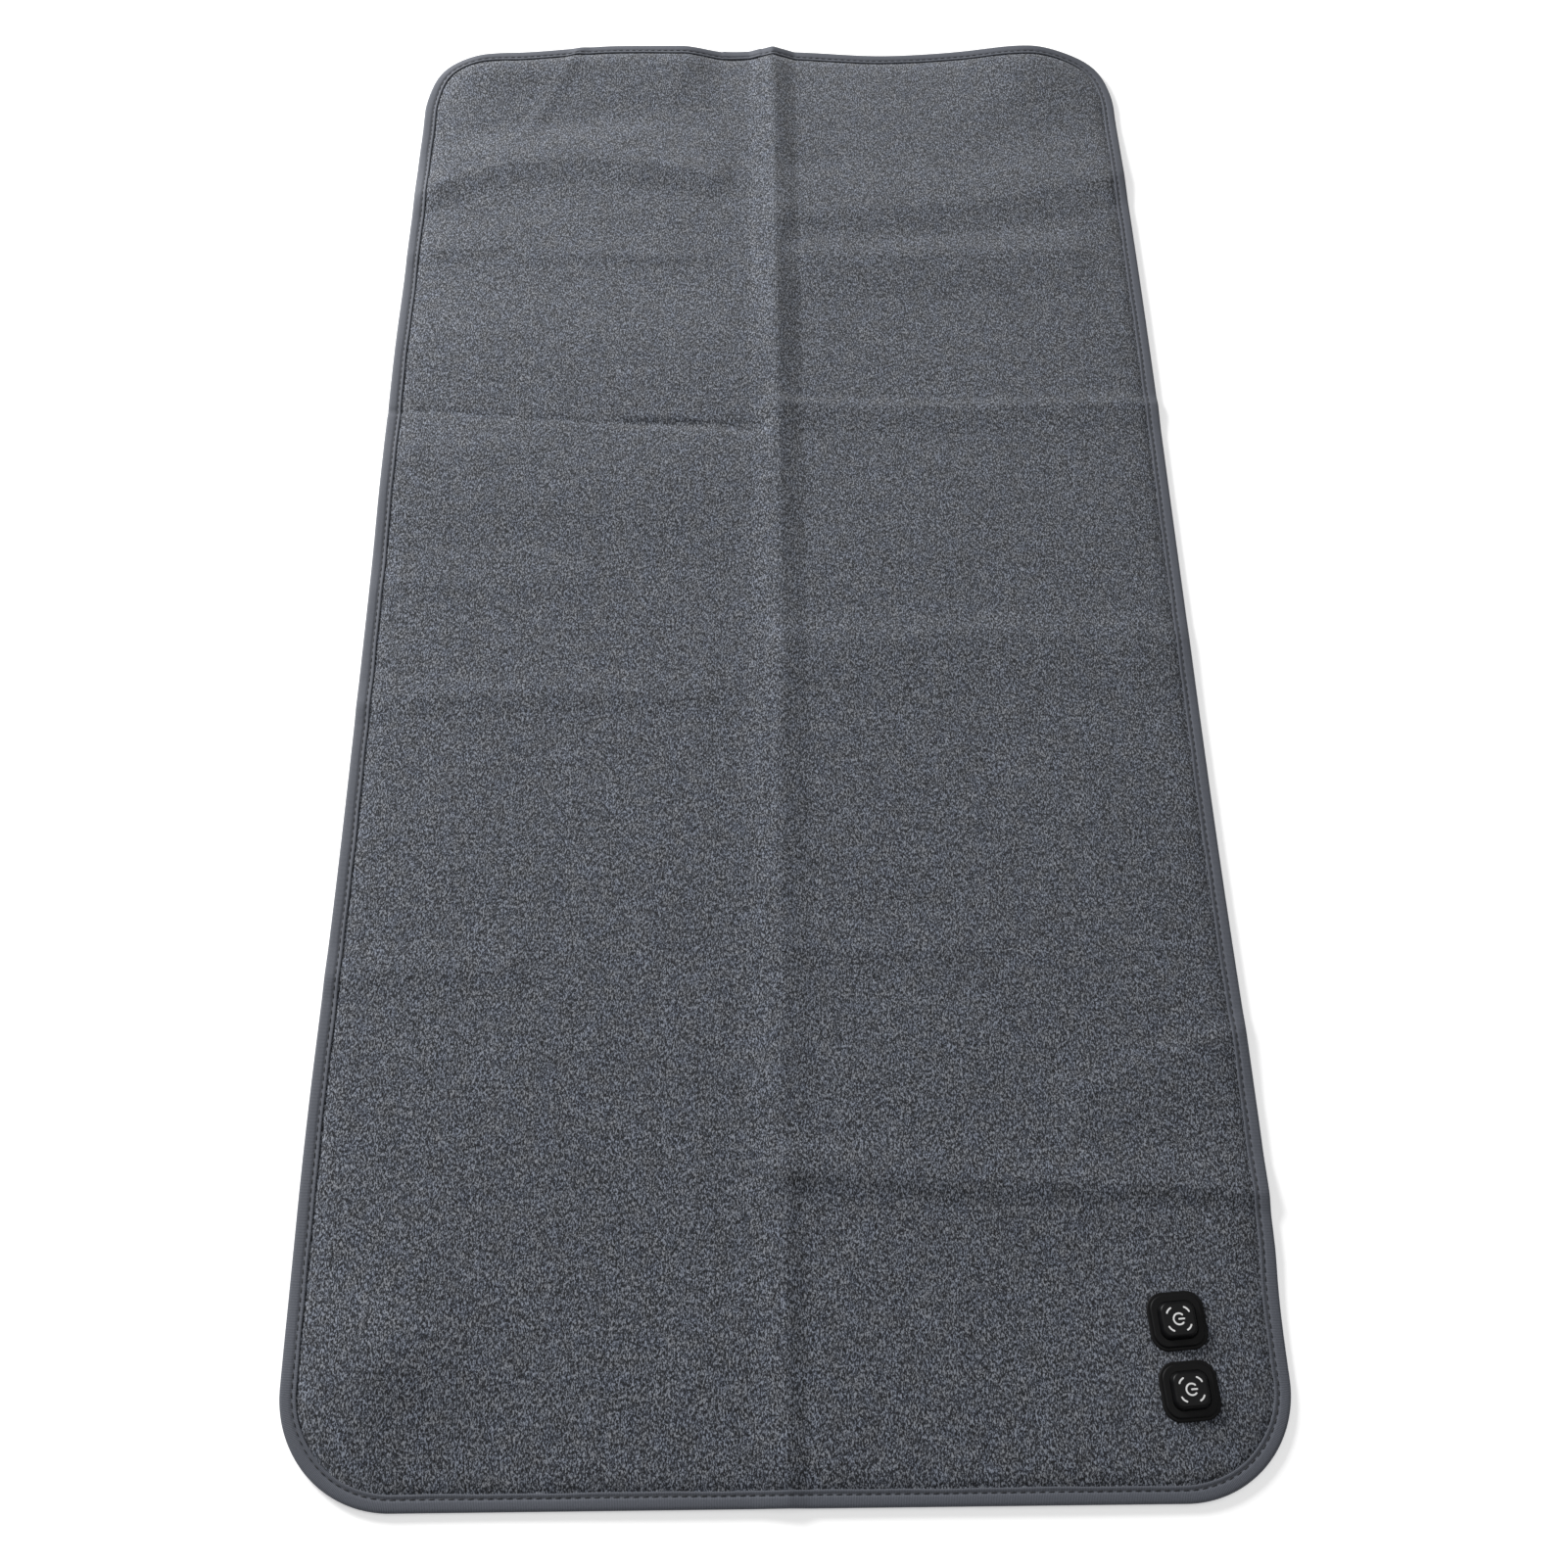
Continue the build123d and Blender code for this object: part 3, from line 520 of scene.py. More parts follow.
def tape_band():
    section = np.array(TAPE_SECTION) * MM
    around, along = len(section), STITCHES * SAMPLES_PER_STITCH
    bm = bmesh.new()
    bmesh.ops.create_grid(bm, x_segments=along, y_segments=around, size=1)
    at = np.array([v.co for v in bm.verts])
    step = np.rint((at[:, 0] + 1) / 2 * along).astype(int)
    spot = np.rint((at[:, 1] + 1) / 2 * around).astype(int)
    distance = step / along * SEAM_LENGTH
    inset, z = section[spot % around].T
    beat = 0.5 - 0.5 * np.cos(2 * math.pi * step / SAMPLES_PER_STITCH)
    on_seam = np.exp(-(((inset - SEAM_INSET) / (1.3 * MM)) ** 2)) * (z > 2.6 * MM)
    z = z + (0.16 * beat - 0.1) * MM * on_seam
    wobble = 0.18 * np.sin(distance / 0.019) + 0.12 * np.sin(distance / 0.0071 + 1)
    inset = inset + wobble * MM * (inset > 6 * MM)
    lap_start = RUN_STARTS[2] + SIDE_X + LAP_PLACE
    lapped = (distance > lap_start - LAP_LENGTH) & (distance < lap_start)
    outer = (z > 2.6 * MM) | (inset < 0.6 * MM) | (z < 0.4 * MM)
    z = z + np.where(lapped & (z > 2.6 * MM), 0.45 * MM, 0)
    inset = inset - np.where(lapped & outer & (inset < 1.5 * MM), 0.5 * MM, 0)
    for vert, place in zip(bm.verts, beside_edge(distance, inset, z)):
        vert.co = place
    lengths = np.linalg.norm(np.diff(np.vstack([section, section[:1]]), axis=0), axis=1)
    girth = np.concatenate([[0], np.cumsum(lengths)])
    return bm, np.column_stack([distance, girth[spot]])


bm, tape_pattern = tape_band()
edge_binding = finished("edge_binding", bm, pattern=tape_pattern)
bm = bmesh.new()
bm.from_mesh(edge_binding.data)
bmesh.ops.remove_doubles(bm, verts=bm.verts, dist=1e-6)
bmesh.ops.recalc_face_normals(bm, faces=bm.faces)
bm.to_mesh(edge_binding.data)
bm.free()
across_fold(edge_binding, "edge_binding_left", "edge_binding_right")

# %% [markdown]
# Lockstitch has a needle thread above and a bobbin thread below. Each stitch that shows is a short
# plump oval, sunk at both ends where the thread goes down through the cloth. They are hundreds of
# times the same shape, so each is a ball of few faces, stretched along the seam.

# %% Stitches
STITCH_LENGTH, THREAD_RADIUS = 4.1 * MM, 0.36 * MM


def one_stitch():
    bm = bmesh.new()
    size = Matrix.Diagonal((STITCH_LENGTH / 2, THREAD_RADIUS, THREAD_RADIUS, 1))
    bmesh.ops.create_uvsphere(bm, u_segments=6, v_segments=6, radius=1, matrix=size)
    mesh = bpy.data.meshes.new("one_stitch")
    bm.to_mesh(mesh)
    bm.free()
    return mesh


def stitch_row(name, z, lean):
    stitch = one_stitch()
    bm = bmesh.new()
    distance = (np.arange(STITCHES) + 0.5) / STITCHES * SEAM_LENGTH
    spots = beside_edge(distance, np.full(STITCHES, SEAM_INSET), np.full(STITCHES, z))
    _, outward = stations(distance)
    for spot, away in zip(spots, outward):
        heading = math.atan2(away[1], away[0]) + math.pi / 2 + lean
        place = Matrix.Translation(spot) @ Matrix.Rotation(heading, 4, "Z")
        stitch.transform(place)
        bm.from_mesh(stitch)
        stitch.transform(place.inverted())
    bpy.data.meshes.remove(stitch)
    return finished(name, bm)


needle_thread = stitch_row("needle_thread", SEAM_TOP - 0.38 * MM, 0.06)
bobbin_thread = stitch_row("bobbin_thread", 0.42 * MM, -0.06)
across_fold(needle_thread, "needle_thread_left", "needle_thread_right")
across_fold(bobbin_thread, "bobbin_thread_left", "bobbin_thread_right")

# %% [markdown]
# The layers inside can be seen only where the mat is cut open, but they have to follow its waves and
# its fold. Each is a copy of its CAD solids. The copy's two halves are merged at the middle, it is cut
# into cells so that it can bend, and then it is laid down like the cloth. The wadding is pressed a
# little thinner than its pocket, so that its wider cells don't come through the cloth at a crease.
# Where the mat folds lengthwise the cuts are 1.5 mm apart, so the layers bend as finely as the cloth.


# %% Inner layers
FOLD_CUTS = np.arange(-0.0225, 0.0065, 0.0015)  # close cuts where the mat folds


def cut_in_cells(bm, pitch):
    for axis in (0, 1):
        normal = Vector((1, 0, 0)) if axis == 0 else Vector((0, 1, 0))
        low = min(v.co[axis] for v in bm.verts)
        high = max(v.co[axis] for v in bm.verts)
        places = [*np.linspace(low, high, math.ceil((high - low) / pitch) + 1)[1:-1]]
        if axis == 0:
            places += [at for at in FOLD_CUTS if low < at < high]
        for at in places:
            parts = [*bm.verts, *bm.edges, *bm.faces]
            bmesh.ops.bisect_plane(bm, geom=parts, plane_co=normal * at, plane_no=normal)


def laid_copy(name, sources, pitch, pressed=0.0):
    bm = bmesh.new()
    for source in sources:
        bm.from_mesh(nodes[source].data)
    bmesh.ops.remove_doubles(bm, verts=bm.verts, dist=1e-6)
    seam = [v for v in bm.verts if abs(v.co.x) < 0.25 * MM]
    if len(sources) > 1:
        for v in seam:
            v.co.x = 0
        bmesh.ops.remove_doubles(bm, verts=seam, dist=1e-6)
        walls = [f for f in bm.faces if all(abs(v.co.x) < 1e-7 for v in f.verts)]
        bmesh.ops.delete(bm, geom=walls, context="FACES")
    cut_in_cells(bm, pitch)
    top = max(v.co.z for v in bm.verts)
    for v in bm.verts:
        if pressed and v.co.z > top - 0.1 * MM:
            inset = min(HALF_WIDTH - abs(v.co.x), HALF_LENGTH - abs(v.co.y))
            v.co.z = face_height(v.co.x, v.co.y, inset) - FACE_THICKNESS - pressed
    return finished(name, bm)


for layer, pitch, pressed in (
    ("comfort_wadding", 0.008, 0.3 * MM),
    ("reflector_foil", 0.012, 0),
    ("insulation_felt", 0.008, 0),
):
    halves = [f"{layer}_left", f"{layer}_right"]
    across_fold(laid_copy(layer, halves, pitch, pressed), *halves)

# %% [markdown]
# The films, their copper strips and the thermal cut-outs lie wholly in one half, so each rides on
# its half. The leads between the halves cross the fold, so they are one piece in place of both halves.

# %% Heating circuit
CIRCUIT_PITCH, LEAD_PITCH = 20 * MM, 6 * MM
for word in ("left", "right"):
    body = f"{word}_half"
    parts = [f"heating_film_{word}_{number}" for number in range(1, 6)]
    parts += [f"copper_strips_{word}", f"thermal_cutout_{word}"]
    for node in parts:
        piece = laid_copy(f"laid_{node}", [node], CIRCUIT_PITCH)
        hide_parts(node)
        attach(piece, body)

zone_leads = laid_copy("zone_leads", ["zone_leads_left", "zone_leads_right"], LEAD_PITCH)
across_fold(zone_leads, "zone_leads_left", "zone_leads_right")

# %% [markdown]
# The face and the backing are sheets that were cut as one rectangle with round corners, the tape is
# a narrow sheet, and the wadding and felt are stuffing. Each piece names the slot that it takes its
# finish from.

SLOTS = {
    "face_cloth": "face_cloth",
    "backing_cloth": "backing",
    "edge_binding": "binding_tape",
    "needle_thread": "seam_thread",
    "bobbin_thread": "seam_thread",
    "comfort_wadding": "wadding",
    "reflector_foil": "foil",
    "insulation_felt": "felt",
    "zone_leads": "lead_insulation",
}
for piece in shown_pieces():
    if piece.name.startswith("laid_"):
        copied = piece.name.removeprefix("laid_")
        SLOTS[piece.name] = nodes[copied].data.materials[0].name

# %% [markdown]
# Materials are small networks of nodes. One function turns a hex colour to linear light, and one
# adds a node with its settings, its colour stops and its links. Numbers that are the same all over
# a surface are set straight on the shader, where the export can read them.


# %% Material helpers
def linear(hex_colour):
    parts = [int(hex_colour[i : i + 2], 16) / 255 for i in (1, 3, 5)]
    return (*[p / 12.92 if p <= 0.04045 else ((p + 0.055) / 1.055) ** 2.4 for p in parts], 1)


def add(tree, kind, settings=None, stops=(), **links):
    """Adds a node. settings are its properties, stops its colours at places from 0 to 1, and
    links its inputs, by name or by number after an i: each is a socket or a value."""
    node = tree.nodes.new(kind)
    for name, value in (settings or {}).items():
        setattr(node, name, value)
    for _ in stops[2:]:
        node.color_ramp.elements.new(0.5)
    for number, (place, colour) in enumerate(stops):
        node.color_ramp.elements[number].position = place
        node.color_ramp.elements[number].color = linear(colour)
    for name, value in links.items():
        spot = int(name[1:]) if name[0] == "i" and name[1:].isdigit() else name.replace("_", " ")
        if isinstance(value, bpy.types.NodeSocket):
            tree.links.new(value, node.inputs[spot])
        else:
            node.inputs[spot].default_value = value
    return node


def start(name, **numbers):
    """A new material, its tree and its shader, with numbers set on the shader."""
    made = bpy.data.materials.new(name)
    made.use_nodes = True
    tree = made.node_tree
    shader = tree.nodes["Principled BSDF"]
    for socket, value in numbers.items():
        shader.inputs[socket.replace("_", " ")].default_value = value
    return made, tree, shader


def join(tree, shader, colour, relief):
    """Joins the colour and the relief that were made to the shader."""
    tree.links.new(colour, shader.inputs["Base Color"])
    tree.links.new(relief.outputs["Normal"], shader.inputs["Normal"])


MM_SCALE = (1000, 1000, 1000)  # metres to millimetres, so that a pattern's scale is per millimetre
RAMP = "ShaderNodeValToRGB"
FLOAT_MIX = {"data_type": "FLOAT"}
TINT_MIX = {"data_type": "RGBA", "blend_type": "MULTIPLY"}

# %% [markdown]
# The face is brushed flannel, knitted from light and dark polyester fibres and raised with wire
# brushes. The eye sees short worms of light and dark fibre, 1 to 2 mm long, lying every way, with
# bluish and brownish patches of a few millimetres where the mix varies. It is quite matt, with a faint
# glow of nap at grazing angles. Three noises stretched in three directions make the worms.

# %% Flannel
flannel, tree, shader = start(
    "brushed_heather_flannel",
    Roughness=0.95,
    IOR=1.5,
    Specular_IOR_Level=0.2,
    Sheen_Weight=0.2,
    Sheen_Roughness=0.6,
)
cloth = add(tree, "ShaderNodeTexCoord").outputs["UV"]
worms = None
for turn in (0.3, 1.35, 2.4):
    along = add(
        tree, "ShaderNodeMapping", Vector=cloth, Scale=(1000, 480, 1000), Rotation=(0, 0, turn)
    )
    fibre = add(
        tree,
        "ShaderNodeTexNoise",
        Vector=along.outputs[0],
        Scale=1.15,
        Detail=1.5,
        Roughness=0.5,
        Distortion=0.9,
    )
    if worms is None:
        worms = fibre.outputs["Fac"]
    else:
        both = add(tree, "ShaderNodeMath", {"operation": "ADD"}, i0=worms, i1=fibre.outputs["Fac"])
        worms = both.outputs[0]
even = add(tree, "ShaderNodeMapRange", Value=worms, From_Min=1.31, From_Max=1.69)
HEATHER = ((0.0, "#0E1014"), (0.38, "#33373F"), (0.64, "#4A4E57"), (1.0, "#92969E"))
heather = add(tree, RAMP, stops=HEATHER, i0=even.outputs[0])

# %% [markdown]
# Over the worms lie two wide, weak tints: patches where the dye mix varies, a centimetre across,
# and clouds where the nap was brushed more or less. A fine noise in the relief keeps the nap rough.

# %% Flannel patches and nap
flat = add(tree, "ShaderNodeMapping", Vector=cloth, Scale=MM_SCALE).outputs[0]
patch = add(tree, "ShaderNodeTexNoise", Vector=flat, Scale=0.09, Detail=2.0, Roughness=0.55)
PATCHES = ((0.34, "#F4F2EF"), (0.5, "#F4F5F7"), (0.66, "#F0F4FC"))
patch_tint = add(tree, RAMP, stops=PATCHES, i0=patch.outputs["Fac"])
tinted = add(
    tree, "ShaderNodeMix", TINT_MIX, i0=1.0, i6=heather.outputs[0], i7=patch_tint.outputs[0]
)
cloudy = add(tree, "ShaderNodeTexNoise", Vector=flat, Scale=0.035, Detail=4.0, Roughness=0.6)
clouds = add(tree, RAMP, stops=((0.3, "#F0F0F0"), (0.7, "#FFFFFF")), i0=cloudy.outputs["Fac"])
clouded = add(tree, "ShaderNodeMix", TINT_MIX, i0=1.0, i6=tinted.outputs[2], i7=clouds.outputs[0])
nap = add(tree, "ShaderNodeTexNoise", Vector=flat, Scale=1.8, Detail=2.0, Roughness=0.6)
pilled = add(tree, "ShaderNodeBump", Height=worms, Distance=0.0003, Strength=0.5)
rough_nap = add(
    tree,
    "ShaderNodeBump",
    Height=nap.outputs["Fac"],
    Distance=0.0002,
    Strength=0.5,
    Normal=pilled.outputs["Normal"],
)
join(tree, shader, clouded.outputs[2], rough_nap)

# %% [markdown]
# The tape is woven like grosgrain, from fine polyester yarn with ribs across it. Its UV map runs along
# the seam, so the ribs stay square to the edge round the corners. Real ribs are about 0.4 mm apart,
# which is too fine to show, so they are drawn at 0.9 mm. A wave texture repeats every 0.314 units.

# %% Binding tape finish
WAVE_REPEAT = 0.314
RIB_PITCH_MM = 0.9
tape_finish, tree, shader = start(
    "grosgrain_polyester_tape",
    Roughness=0.72,
    IOR=1.5,
    Specular_IOR_Level=0.35,
    Sheen_Weight=0.12,
    Sheen_Roughness=0.5,
)
seam_wise = add(tree, "ShaderNodeTexCoord").outputs["UV"]
along = add(tree, "ShaderNodeMapping", Vector=seam_wise, Scale=MM_SCALE).outputs[0]
ribs = add(
    tree,
    "ShaderNodeTexWave",
    {"bands_direction": "X"},
    Vector=along,
    Scale=WAVE_REPEAT / RIB_PITCH_MM,
    Distortion=1.2,
    Detail=2.0,
    Detail_Scale=1.5,
)
yarn = add(tree, "ShaderNodeTexNoise", Vector=along, Scale=0.9, Detail=3.0, Roughness=0.6)
mixed = add(
    tree, "ShaderNodeMix", FLOAT_MIX, i0=0.45, i2=ribs.outputs["Fac"], i3=yarn.outputs["Fac"]
)
TAPE_GREYS = ((0.15, "#3E4148"), (0.5, "#50535B"), (0.85, "#646872"))
greys = add(tree, RAMP, stops=TAPE_GREYS, i0=mixed.outputs[0])
relief = add(tree, "ShaderNodeBump", Height=mixed.outputs[0], Distance=0.00022, Strength=0.6)
join(tree, shader, greys.outputs[0], relief)

# %% [markdown]
# Sewing thread is three plies of polyester, twisted. At this size the plies are slanting lines.

# %% Thread
thread, tree, shader = start(
    "twisted_polyester_thread", Roughness=0.55, IOR=1.5, Specular_IOR_Level=0.4, Sheen_Weight=0.15
)
place = add(tree, "ShaderNodeTexCoord").outputs["Object"]
slant = add(tree, "ShaderNodeMapping", Vector=place, Scale=MM_SCALE, Rotation=(0, 0, 0.8))
plies = add(
    tree,
    "ShaderNodeTexWave",
    {"bands_direction": "X"},
    Vector=slant.outputs[0],
    Scale=0.5,
    Distortion=0.6,
    Detail=1.0,
)
dark = add(tree, RAMP, stops=((0.1, "#131417"), (0.7, "#26282D")), i0=plies.outputs["Fac"])
relief = add(tree, "ShaderNodeBump", Height=plies.outputs["Fac"], Distance=0.0001, Strength=0.5)
join(tree, shader, dark.outputs[0], relief)

# %% [markdown]
# The backing is plain-woven polyester with a thin coating. Its yarns are 0.5 mm apart on the real
# cloth and are drawn at 1.1 mm. Two waves at right angles, multiplied, give the little squares.

# %% Backing finish
WEAVE_PITCH_MM = 1.1
backing_finish, tree, shader = start(
    "coated_plain_weave", Roughness=0.62, IOR=1.5, Specular_IOR_Level=0.35
)
cloth = add(tree, "ShaderNodeTexCoord").outputs["UV"]
flat = add(tree, "ShaderNodeMapping", Vector=cloth, Scale=MM_SCALE).outputs[0]
warp, weft = (
    add(
        tree,
        "ShaderNodeTexWave",
        {"bands_direction": direction},
        Vector=flat,
        Scale=WAVE_REPEAT / WEAVE_PITCH_MM,
        Distortion=0.4,
        Detail=1.0,
    ).outputs["Fac"]
    for direction in ("X", "Y")
)
weave = add(tree, "ShaderNodeMath", {"operation": "MULTIPLY"}, i0=warp, i1=weft)
cast = add(tree, "ShaderNodeTexNoise", Vector=flat, Scale=0.05, Detail=3.0)
shade = add(
    tree, "ShaderNodeMix", FLOAT_MIX, i0=0.3, i2=weave.outputs[0], i3=cast.outputs["Fac"]
)
BACK_GREYS = ((0.0, "#222429"), (0.45, "#34373D"), (1.0, "#4B4E55"))
greys = add(tree, RAMP, stops=BACK_GREYS, i0=shade.outputs[0])
relief = add(tree, "ShaderNodeBump", Height=weave.outputs[0], Distance=0.0002, Strength=0.6)
join(tree, shader, greys.outputs[0], relief)

# %% [markdown]
# Inside are felted and foamed layers. Fibre felts are a noise with long detail, and the metallised
# film is bare aluminium colour over a crinkled noise.


# %% Fibre fillings and foil
def fibre_felt(name, dark, light, size_mm):
    made, tree, shader = start(name, Roughness=1.0, Sheen_Weight=0.2)
    place = add(tree, "ShaderNodeTexCoord").outputs["Object"]
    fibres = add(
        tree,
        "ShaderNodeTexNoise",
        Vector=add(tree, "ShaderNodeMapping", Vector=place, Scale=MM_SCALE).outputs[0],
        Scale=1 / size_mm,
        Detail=5.0,
        Roughness=0.7,
        Distortion=1.5,
    ).outputs["Fac"]
    tones = add(tree, RAMP, stops=((0.3, dark), (0.7, light)), i0=fibres)
    relief = add(tree, "ShaderNodeBump", Height=fibres, Distance=0.0006, Strength=0.6)
    join(tree, shader, tones.outputs[0], relief)
    return made


wadding_finish = fibre_felt("white_polyester_wadding", "#CFCFCB", "#F1F1EE", 3.0)
felt_finish = fibre_felt("needled_felt", "#A9A49C", "#CFCBC4", 2.0)
foil_finish, tree, shader = start("metallised_polyester_film", Metallic=1.0, Roughness=0.28)
place = add(tree, "ShaderNodeTexCoord").outputs["Object"]
flat = add(tree, "ShaderNodeMapping", Vector=place, Scale=MM_SCALE).outputs[0]
crinkle = add(
    tree, "ShaderNodeTexVoronoi", {"feature": "DISTANCE_TO_EDGE"}, Vector=flat, Scale=0.12
).outputs["Distance"]
silver = add(tree, RAMP, stops=((0.0, "#BFC3C8"), (0.3, "#DADDE1")), i0=crinkle)
relief = add(tree, "ShaderNodeBump", Height=crinkle, Distance=0.0004, Strength=0.4)
join(tree, shader, silver.outputs[0], relief)

# %% [markdown]
# The heater is carbon ink printed in stripes on clear film, between two copper strips. The stripes
# run across the film, each 8 mm wide with a 2 mm gap. Rolled copper has long, fine draw lines.

# %% Film and copper
STRIPE_PITCH_MM = 10
film_finish, tree, shader = start("carbon_printed_film", Roughness=0.35, IOR=1.6)
place = add(tree, "ShaderNodeTexCoord").outputs["Object"]
flat = add(tree, "ShaderNodeMapping", Vector=place, Scale=MM_SCALE).outputs[0]
stripes = add(
    tree,
    "ShaderNodeTexWave",
    {"bands_direction": "Y"},
    Vector=flat,
    Scale=WAVE_REPEAT / STRIPE_PITCH_MM,
).outputs["Fac"]
ink = add(tree, RAMP, stops=((0.1, "#2B2B2D"), (0.16, "#0E0E0F")), i0=stripes)
relief = add(tree, "ShaderNodeBump", Height=stripes, Distance=0.00003, Strength=0.5)
join(tree, shader, ink.outputs[0], relief)

copper_finish, tree, shader = start("rolled_copper", Metallic=1.0, Roughness=0.3)
place = add(tree, "ShaderNodeTexCoord").outputs["Object"]
drawn = add(tree, "ShaderNodeMapping", Vector=place, Scale=(4000, 60, 1000)).outputs[0]
rolled = add(tree, "ShaderNodeTexNoise", Vector=drawn, Scale=1.0, Detail=3.0).outputs["Fac"]
reds = add(tree, RAMP, stops=((0.3, "#B5714F"), (0.7, "#DE9A72")), i0=rolled)
relief = add(tree, "ShaderNodeBump", Height=rolled, Distance=0.00002, Strength=0.5)
join(tree, shader, reds.outputs[0], relief)

# %% [markdown]
# Moulded plastics and rubbers differ in colour, gloss and the grain of their mould. Spark-eroded
# moulds leave a grain of 0.1 to 0.3 mm, which breaks up the highlight without being seen one by one.
# Handling polishes some places more than others, so the roughness wanders a little with the grain.


# %% Moulded parts
def moulded(name, dark, light, grain_mm, depth_mm, **numbers):
    made, tree, shader = start(name, **numbers)
    place = add(tree, "ShaderNodeTexCoord").outputs["Object"]
    flat = add(tree, "ShaderNodeMapping", Vector=place, Scale=MM_SCALE).outputs[0]
    grain = add(
        tree, "ShaderNodeTexNoise", Vector=flat, Scale=1 / grain_mm, Detail=3.0, Roughness=0.6
    ).outputs["Fac"]
    cast = add(tree, "ShaderNodeTexNoise", Vector=flat, Scale=0.12, Detail=2.0).outputs["Fac"]
    both = add(tree, "ShaderNodeMix", FLOAT_MIX, i0=0.6, i2=grain, i3=cast).outputs[0]
    tones = add(tree, RAMP, stops=((0.3, dark), (0.7, light)), i0=both)
    wear = add(
        tree,
        "ShaderNodeMapRange",
        Value=both,
        From_Min=0.3,
        From_Max=0.7,
        To_Min=numbers["Roughness"] - 0.08,
        To_Max=numbers["Roughness"] + 0.08,
    )
    tree.links.new(wear.outputs[0], shader.inputs["Roughness"])
    relief = add(tree, "ShaderNodeBump", Height=grain, Distance=depth_mm * MM, Strength=0.5)
    join(tree, shader, tones.outputs[0], relief)
    return made


# %% [markdown]
# Each row below is a real material: its dark and light colour, the grain and its depth in
# millimetres, the roughness, and the index of refraction that is typical for it. Silicone is low at
# 1.41, the hard plastics sit near 1.5, and zinc plate is a metal. The two silicone caps and frames
# are near black and soft, so their reflections are kept low.

# %% The moulded family
MOULDED = {
    "lead_insulation": ("silicone_lead_sleeve", "#141416", "#232325", 0.6, 0.01, 0.5, 1.41),
    "cutout_body": ("glass_fibre_sleeve", "#C9BE9C", "#E2D9BC", 0.5, 0.05, 0.7, 1.5),
    "eyelet": ("moulded_rubber", "#101011", "#1B1B1C", 0.4, 0.02, 0.6, 1.5),
    "terminal": ("white_nylon", "#DAD8D0", "#E9E8E2", 0.5, 0.01, 0.4, 1.53),
    "bezel": ("black_silicone_frame", "#050506", "#0A0A0B", 0.35, 0.03, 0.55, 1.41),
    "cap": ("black_silicone_cap", "#040405", "#08080A", 0.3, 0.02, 0.42, 1.41),
    "sign": ("white_silicone_inlay", "#D8D8D8", "#F0F0F0", 0.5, 0.01, 0.5, 1.43),
    "plunger": ("white_acetal", "#D5D5D2", "#E6E6E4", 0.5, 0.01, 0.35, 1.48),
    "switch": ("black_polyester_switch", "#0F0F10", "#1C1C1D", 0.3, 0.02, 0.5, 1.57),
    "board": ("green_solder_mask", "#0E4A2B", "#186039", 1.2, 0.02, 0.3, 1.55),
    "chip": ("black_epoxy", "#17171A", "#222226", 0.25, 0.02, 0.65, 1.55),
    "leds": ("clear_epoxy_lamp", "#D7DCE0", "#EDF1F4", 0.6, 0.005, 0.2, 1.5),
    "case": ("black_abs", "#18181A", "#232326", 0.3, 0.03, 0.55, 1.54),
    "clamp": ("black_polypropylene", "#1A1A1B", "#262628", 0.4, 0.03, 0.5, 1.49),
}
FINISHES = {
    "face_cloth": flannel,
    "binding_tape": tape_finish,
    "seam_thread": thread,
    "backing": backing_finish,
    "wadding": wadding_finish,
    "felt": felt_finish,
    "foil": foil_finish,
    "carbon_film": film_finish,
    "copper": copper_finish,
}
SOFT_GLOSS = {"bezel": 0.25, "cap": 0.3}
for slot, (name, dark, light, grain_mm, depth_mm, roughness, ior) in MOULDED.items():
    FINISHES[slot] = moulded(
        name,
        dark,
        light,
        grain_mm,
        depth_mm,
        Roughness=roughness,
        IOR=ior,
        Specular_IOR_Level=SOFT_GLOSS.get(slot, 0.5),
    )
FINISHES["screws"] = moulded(
    "zinc_plated_steel", "#A9ABB0", "#C6C8CC", 0.3, 0.01, Roughness=0.35, Metallic=1.0
)

# %% [markdown]
# The new pieces take the finish of the slot they name, and the CAD nodes keep their slots and only
# have the finish in each slot changed.

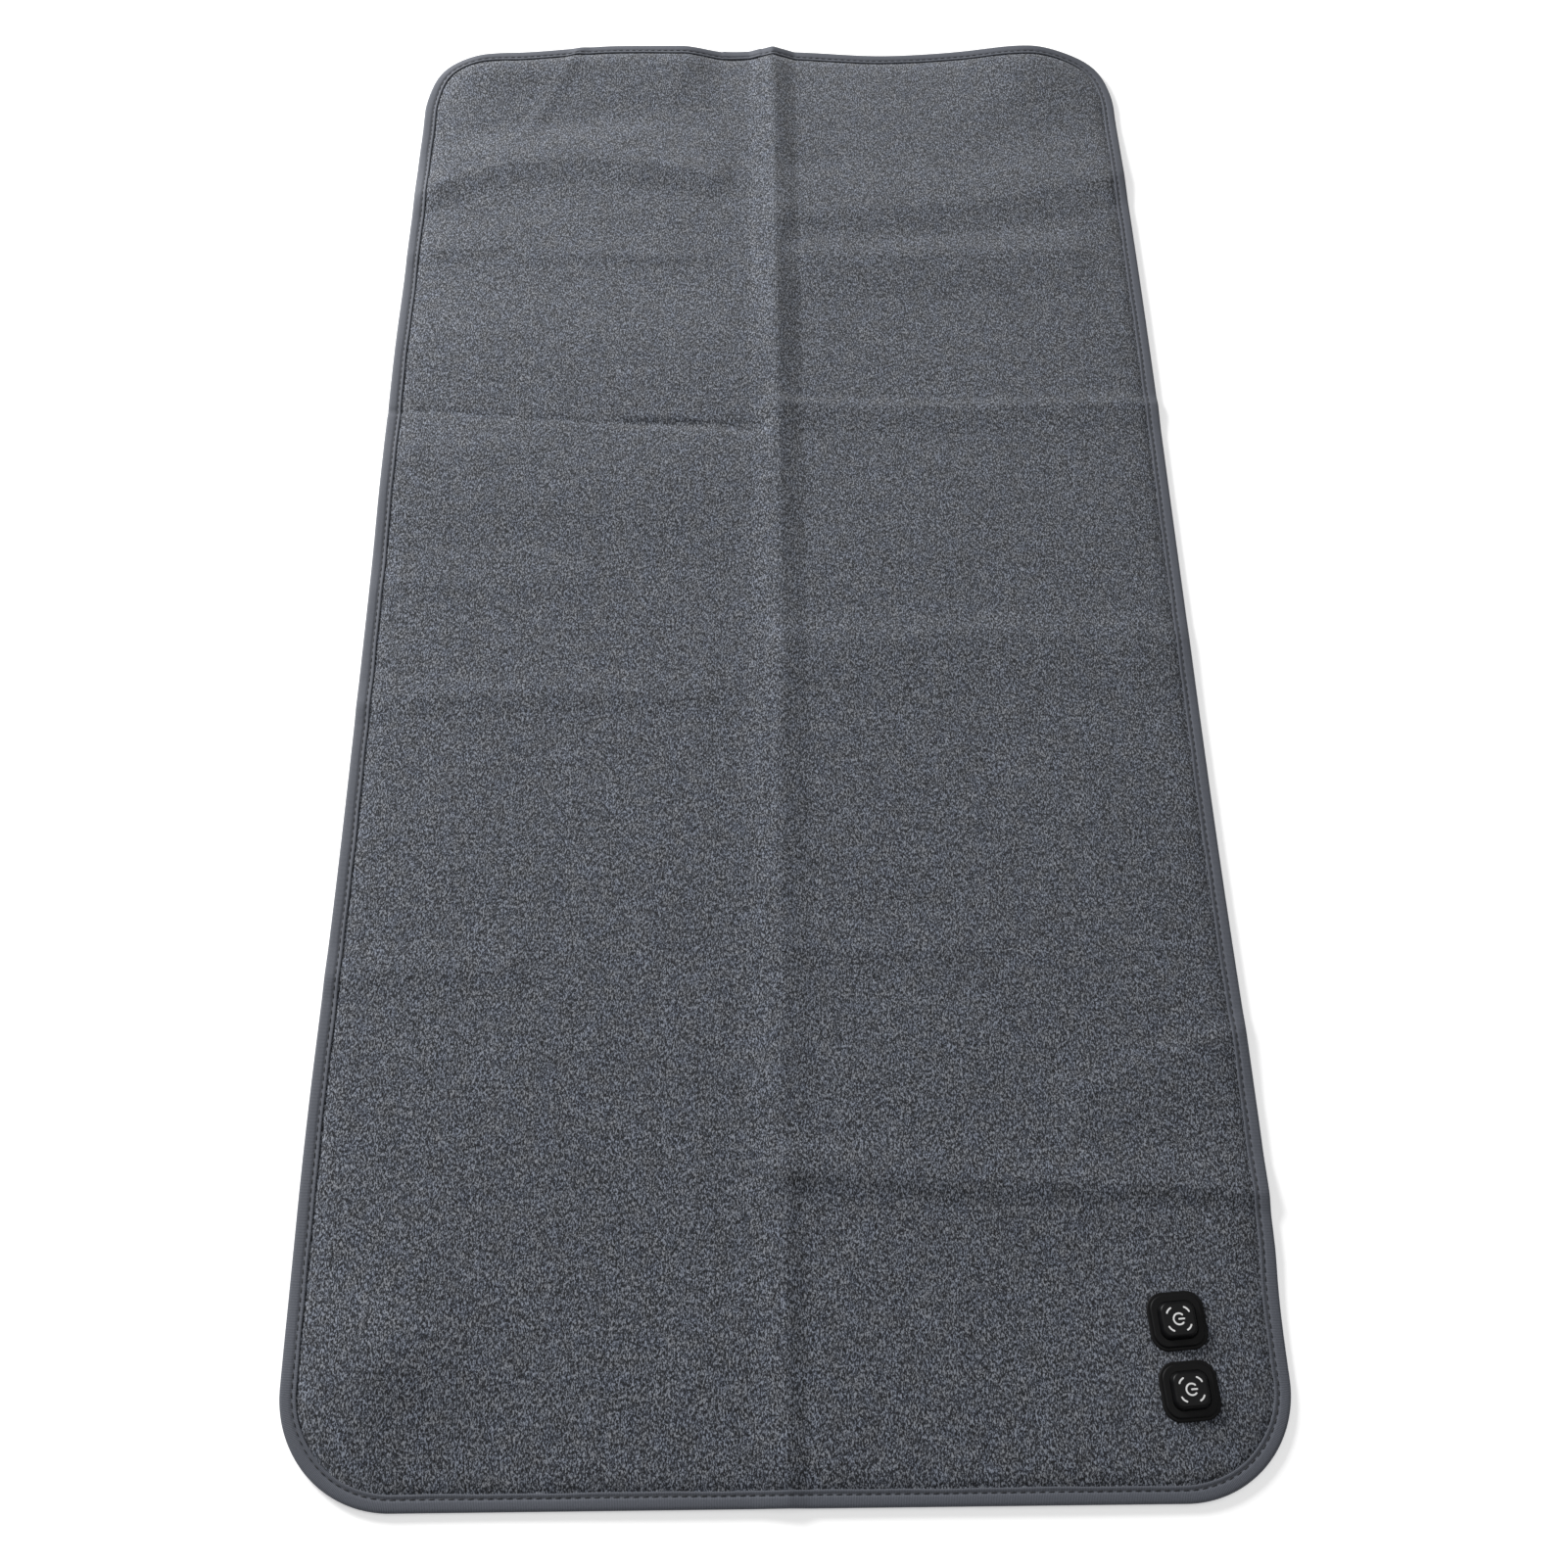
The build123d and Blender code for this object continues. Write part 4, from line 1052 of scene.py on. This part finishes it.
# %% Put the finishes on
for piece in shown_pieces():
    if piece.name in SLOTS:
        piece.data.materials.clear()
        piece.data.materials.append(FINISHES[SLOTS[piece.name]])
for node in nodes.values():
    for spot in node.material_slots:
        if spot.material.name in FINISHES:
            spot.material = FINISHES[spot.material.name]
print("finishes", len(FINISHES), "new pieces", len(SLOTS))

# %% [markdown]
# A studio table for goods is a white sheet, lit a little from below so that it stays clean and the
# shadows on it stay pale. The main light comes from a window-like source far to the left, and a wide,
# weaker one hangs overhead, so the mat's folds are shaded from one side.

# %% Floor, lights and world
bm = bmesh.new()
bmesh.ops.create_grid(bm, x_segments=1, y_segments=1, size=6)
floor_mesh = bpy.data.meshes.new("floor")
bm.to_mesh(floor_mesh)
bm.free()
floor = bpy.data.objects.new("floor", floor_mesh)
floor.location.z = cad_low.z - 0.0002
bpy.context.scene.collection.objects.link(floor)
floor_paint, tree, shader = start(
    "lit_table", Base_Color=linear("#F6F6F6"), Roughness=0.6, Specular_IOR_Level=0.2
)
shader.inputs["Emission Color"].default_value = (1, 1, 1, 1)
shader.inputs["Emission Strength"].default_value = 0.4
floor_mesh.materials.append(floor_paint)


def area_light(name, place, aim, width, height, watts, colour):
    light = bpy.data.lights.new(name, "AREA")
    light.shape = "RECTANGLE"
    light.size, light.size_y = width, height
    light.energy = watts
    light.color = linear(colour)[:3]
    lamp = bpy.data.objects.new(name, light)
    lamp.location = place
    lamp.rotation_euler = (Vector(aim) - Vector(place)).to_track_quat("-Z", "Y").to_euler()
    bpy.context.scene.collection.objects.link(lamp)
    return lamp


area_light("key", (-2.2, 1.95, 1.3), (0, 0.1, 0), 1.2, 0.9, 165, "#FFFFFF")
area_light("overhead", (0.2, -0.2, 2.4), (0, 0, 0), 2.2, 2.2, 12, "#FFFFFF")
world = bpy.data.worlds.new("studio")
world.use_nodes = True
world.node_tree.nodes["Background"].inputs["Color"].default_value = (1, 1, 1, 1)
world.node_tree.nodes["Background"].inputs["Strength"].default_value = 0.24
bpy.context.scene.world = world
bpy.context.scene.view_settings.view_transform = "Standard"
bpy.context.scene.view_settings.look = "None"
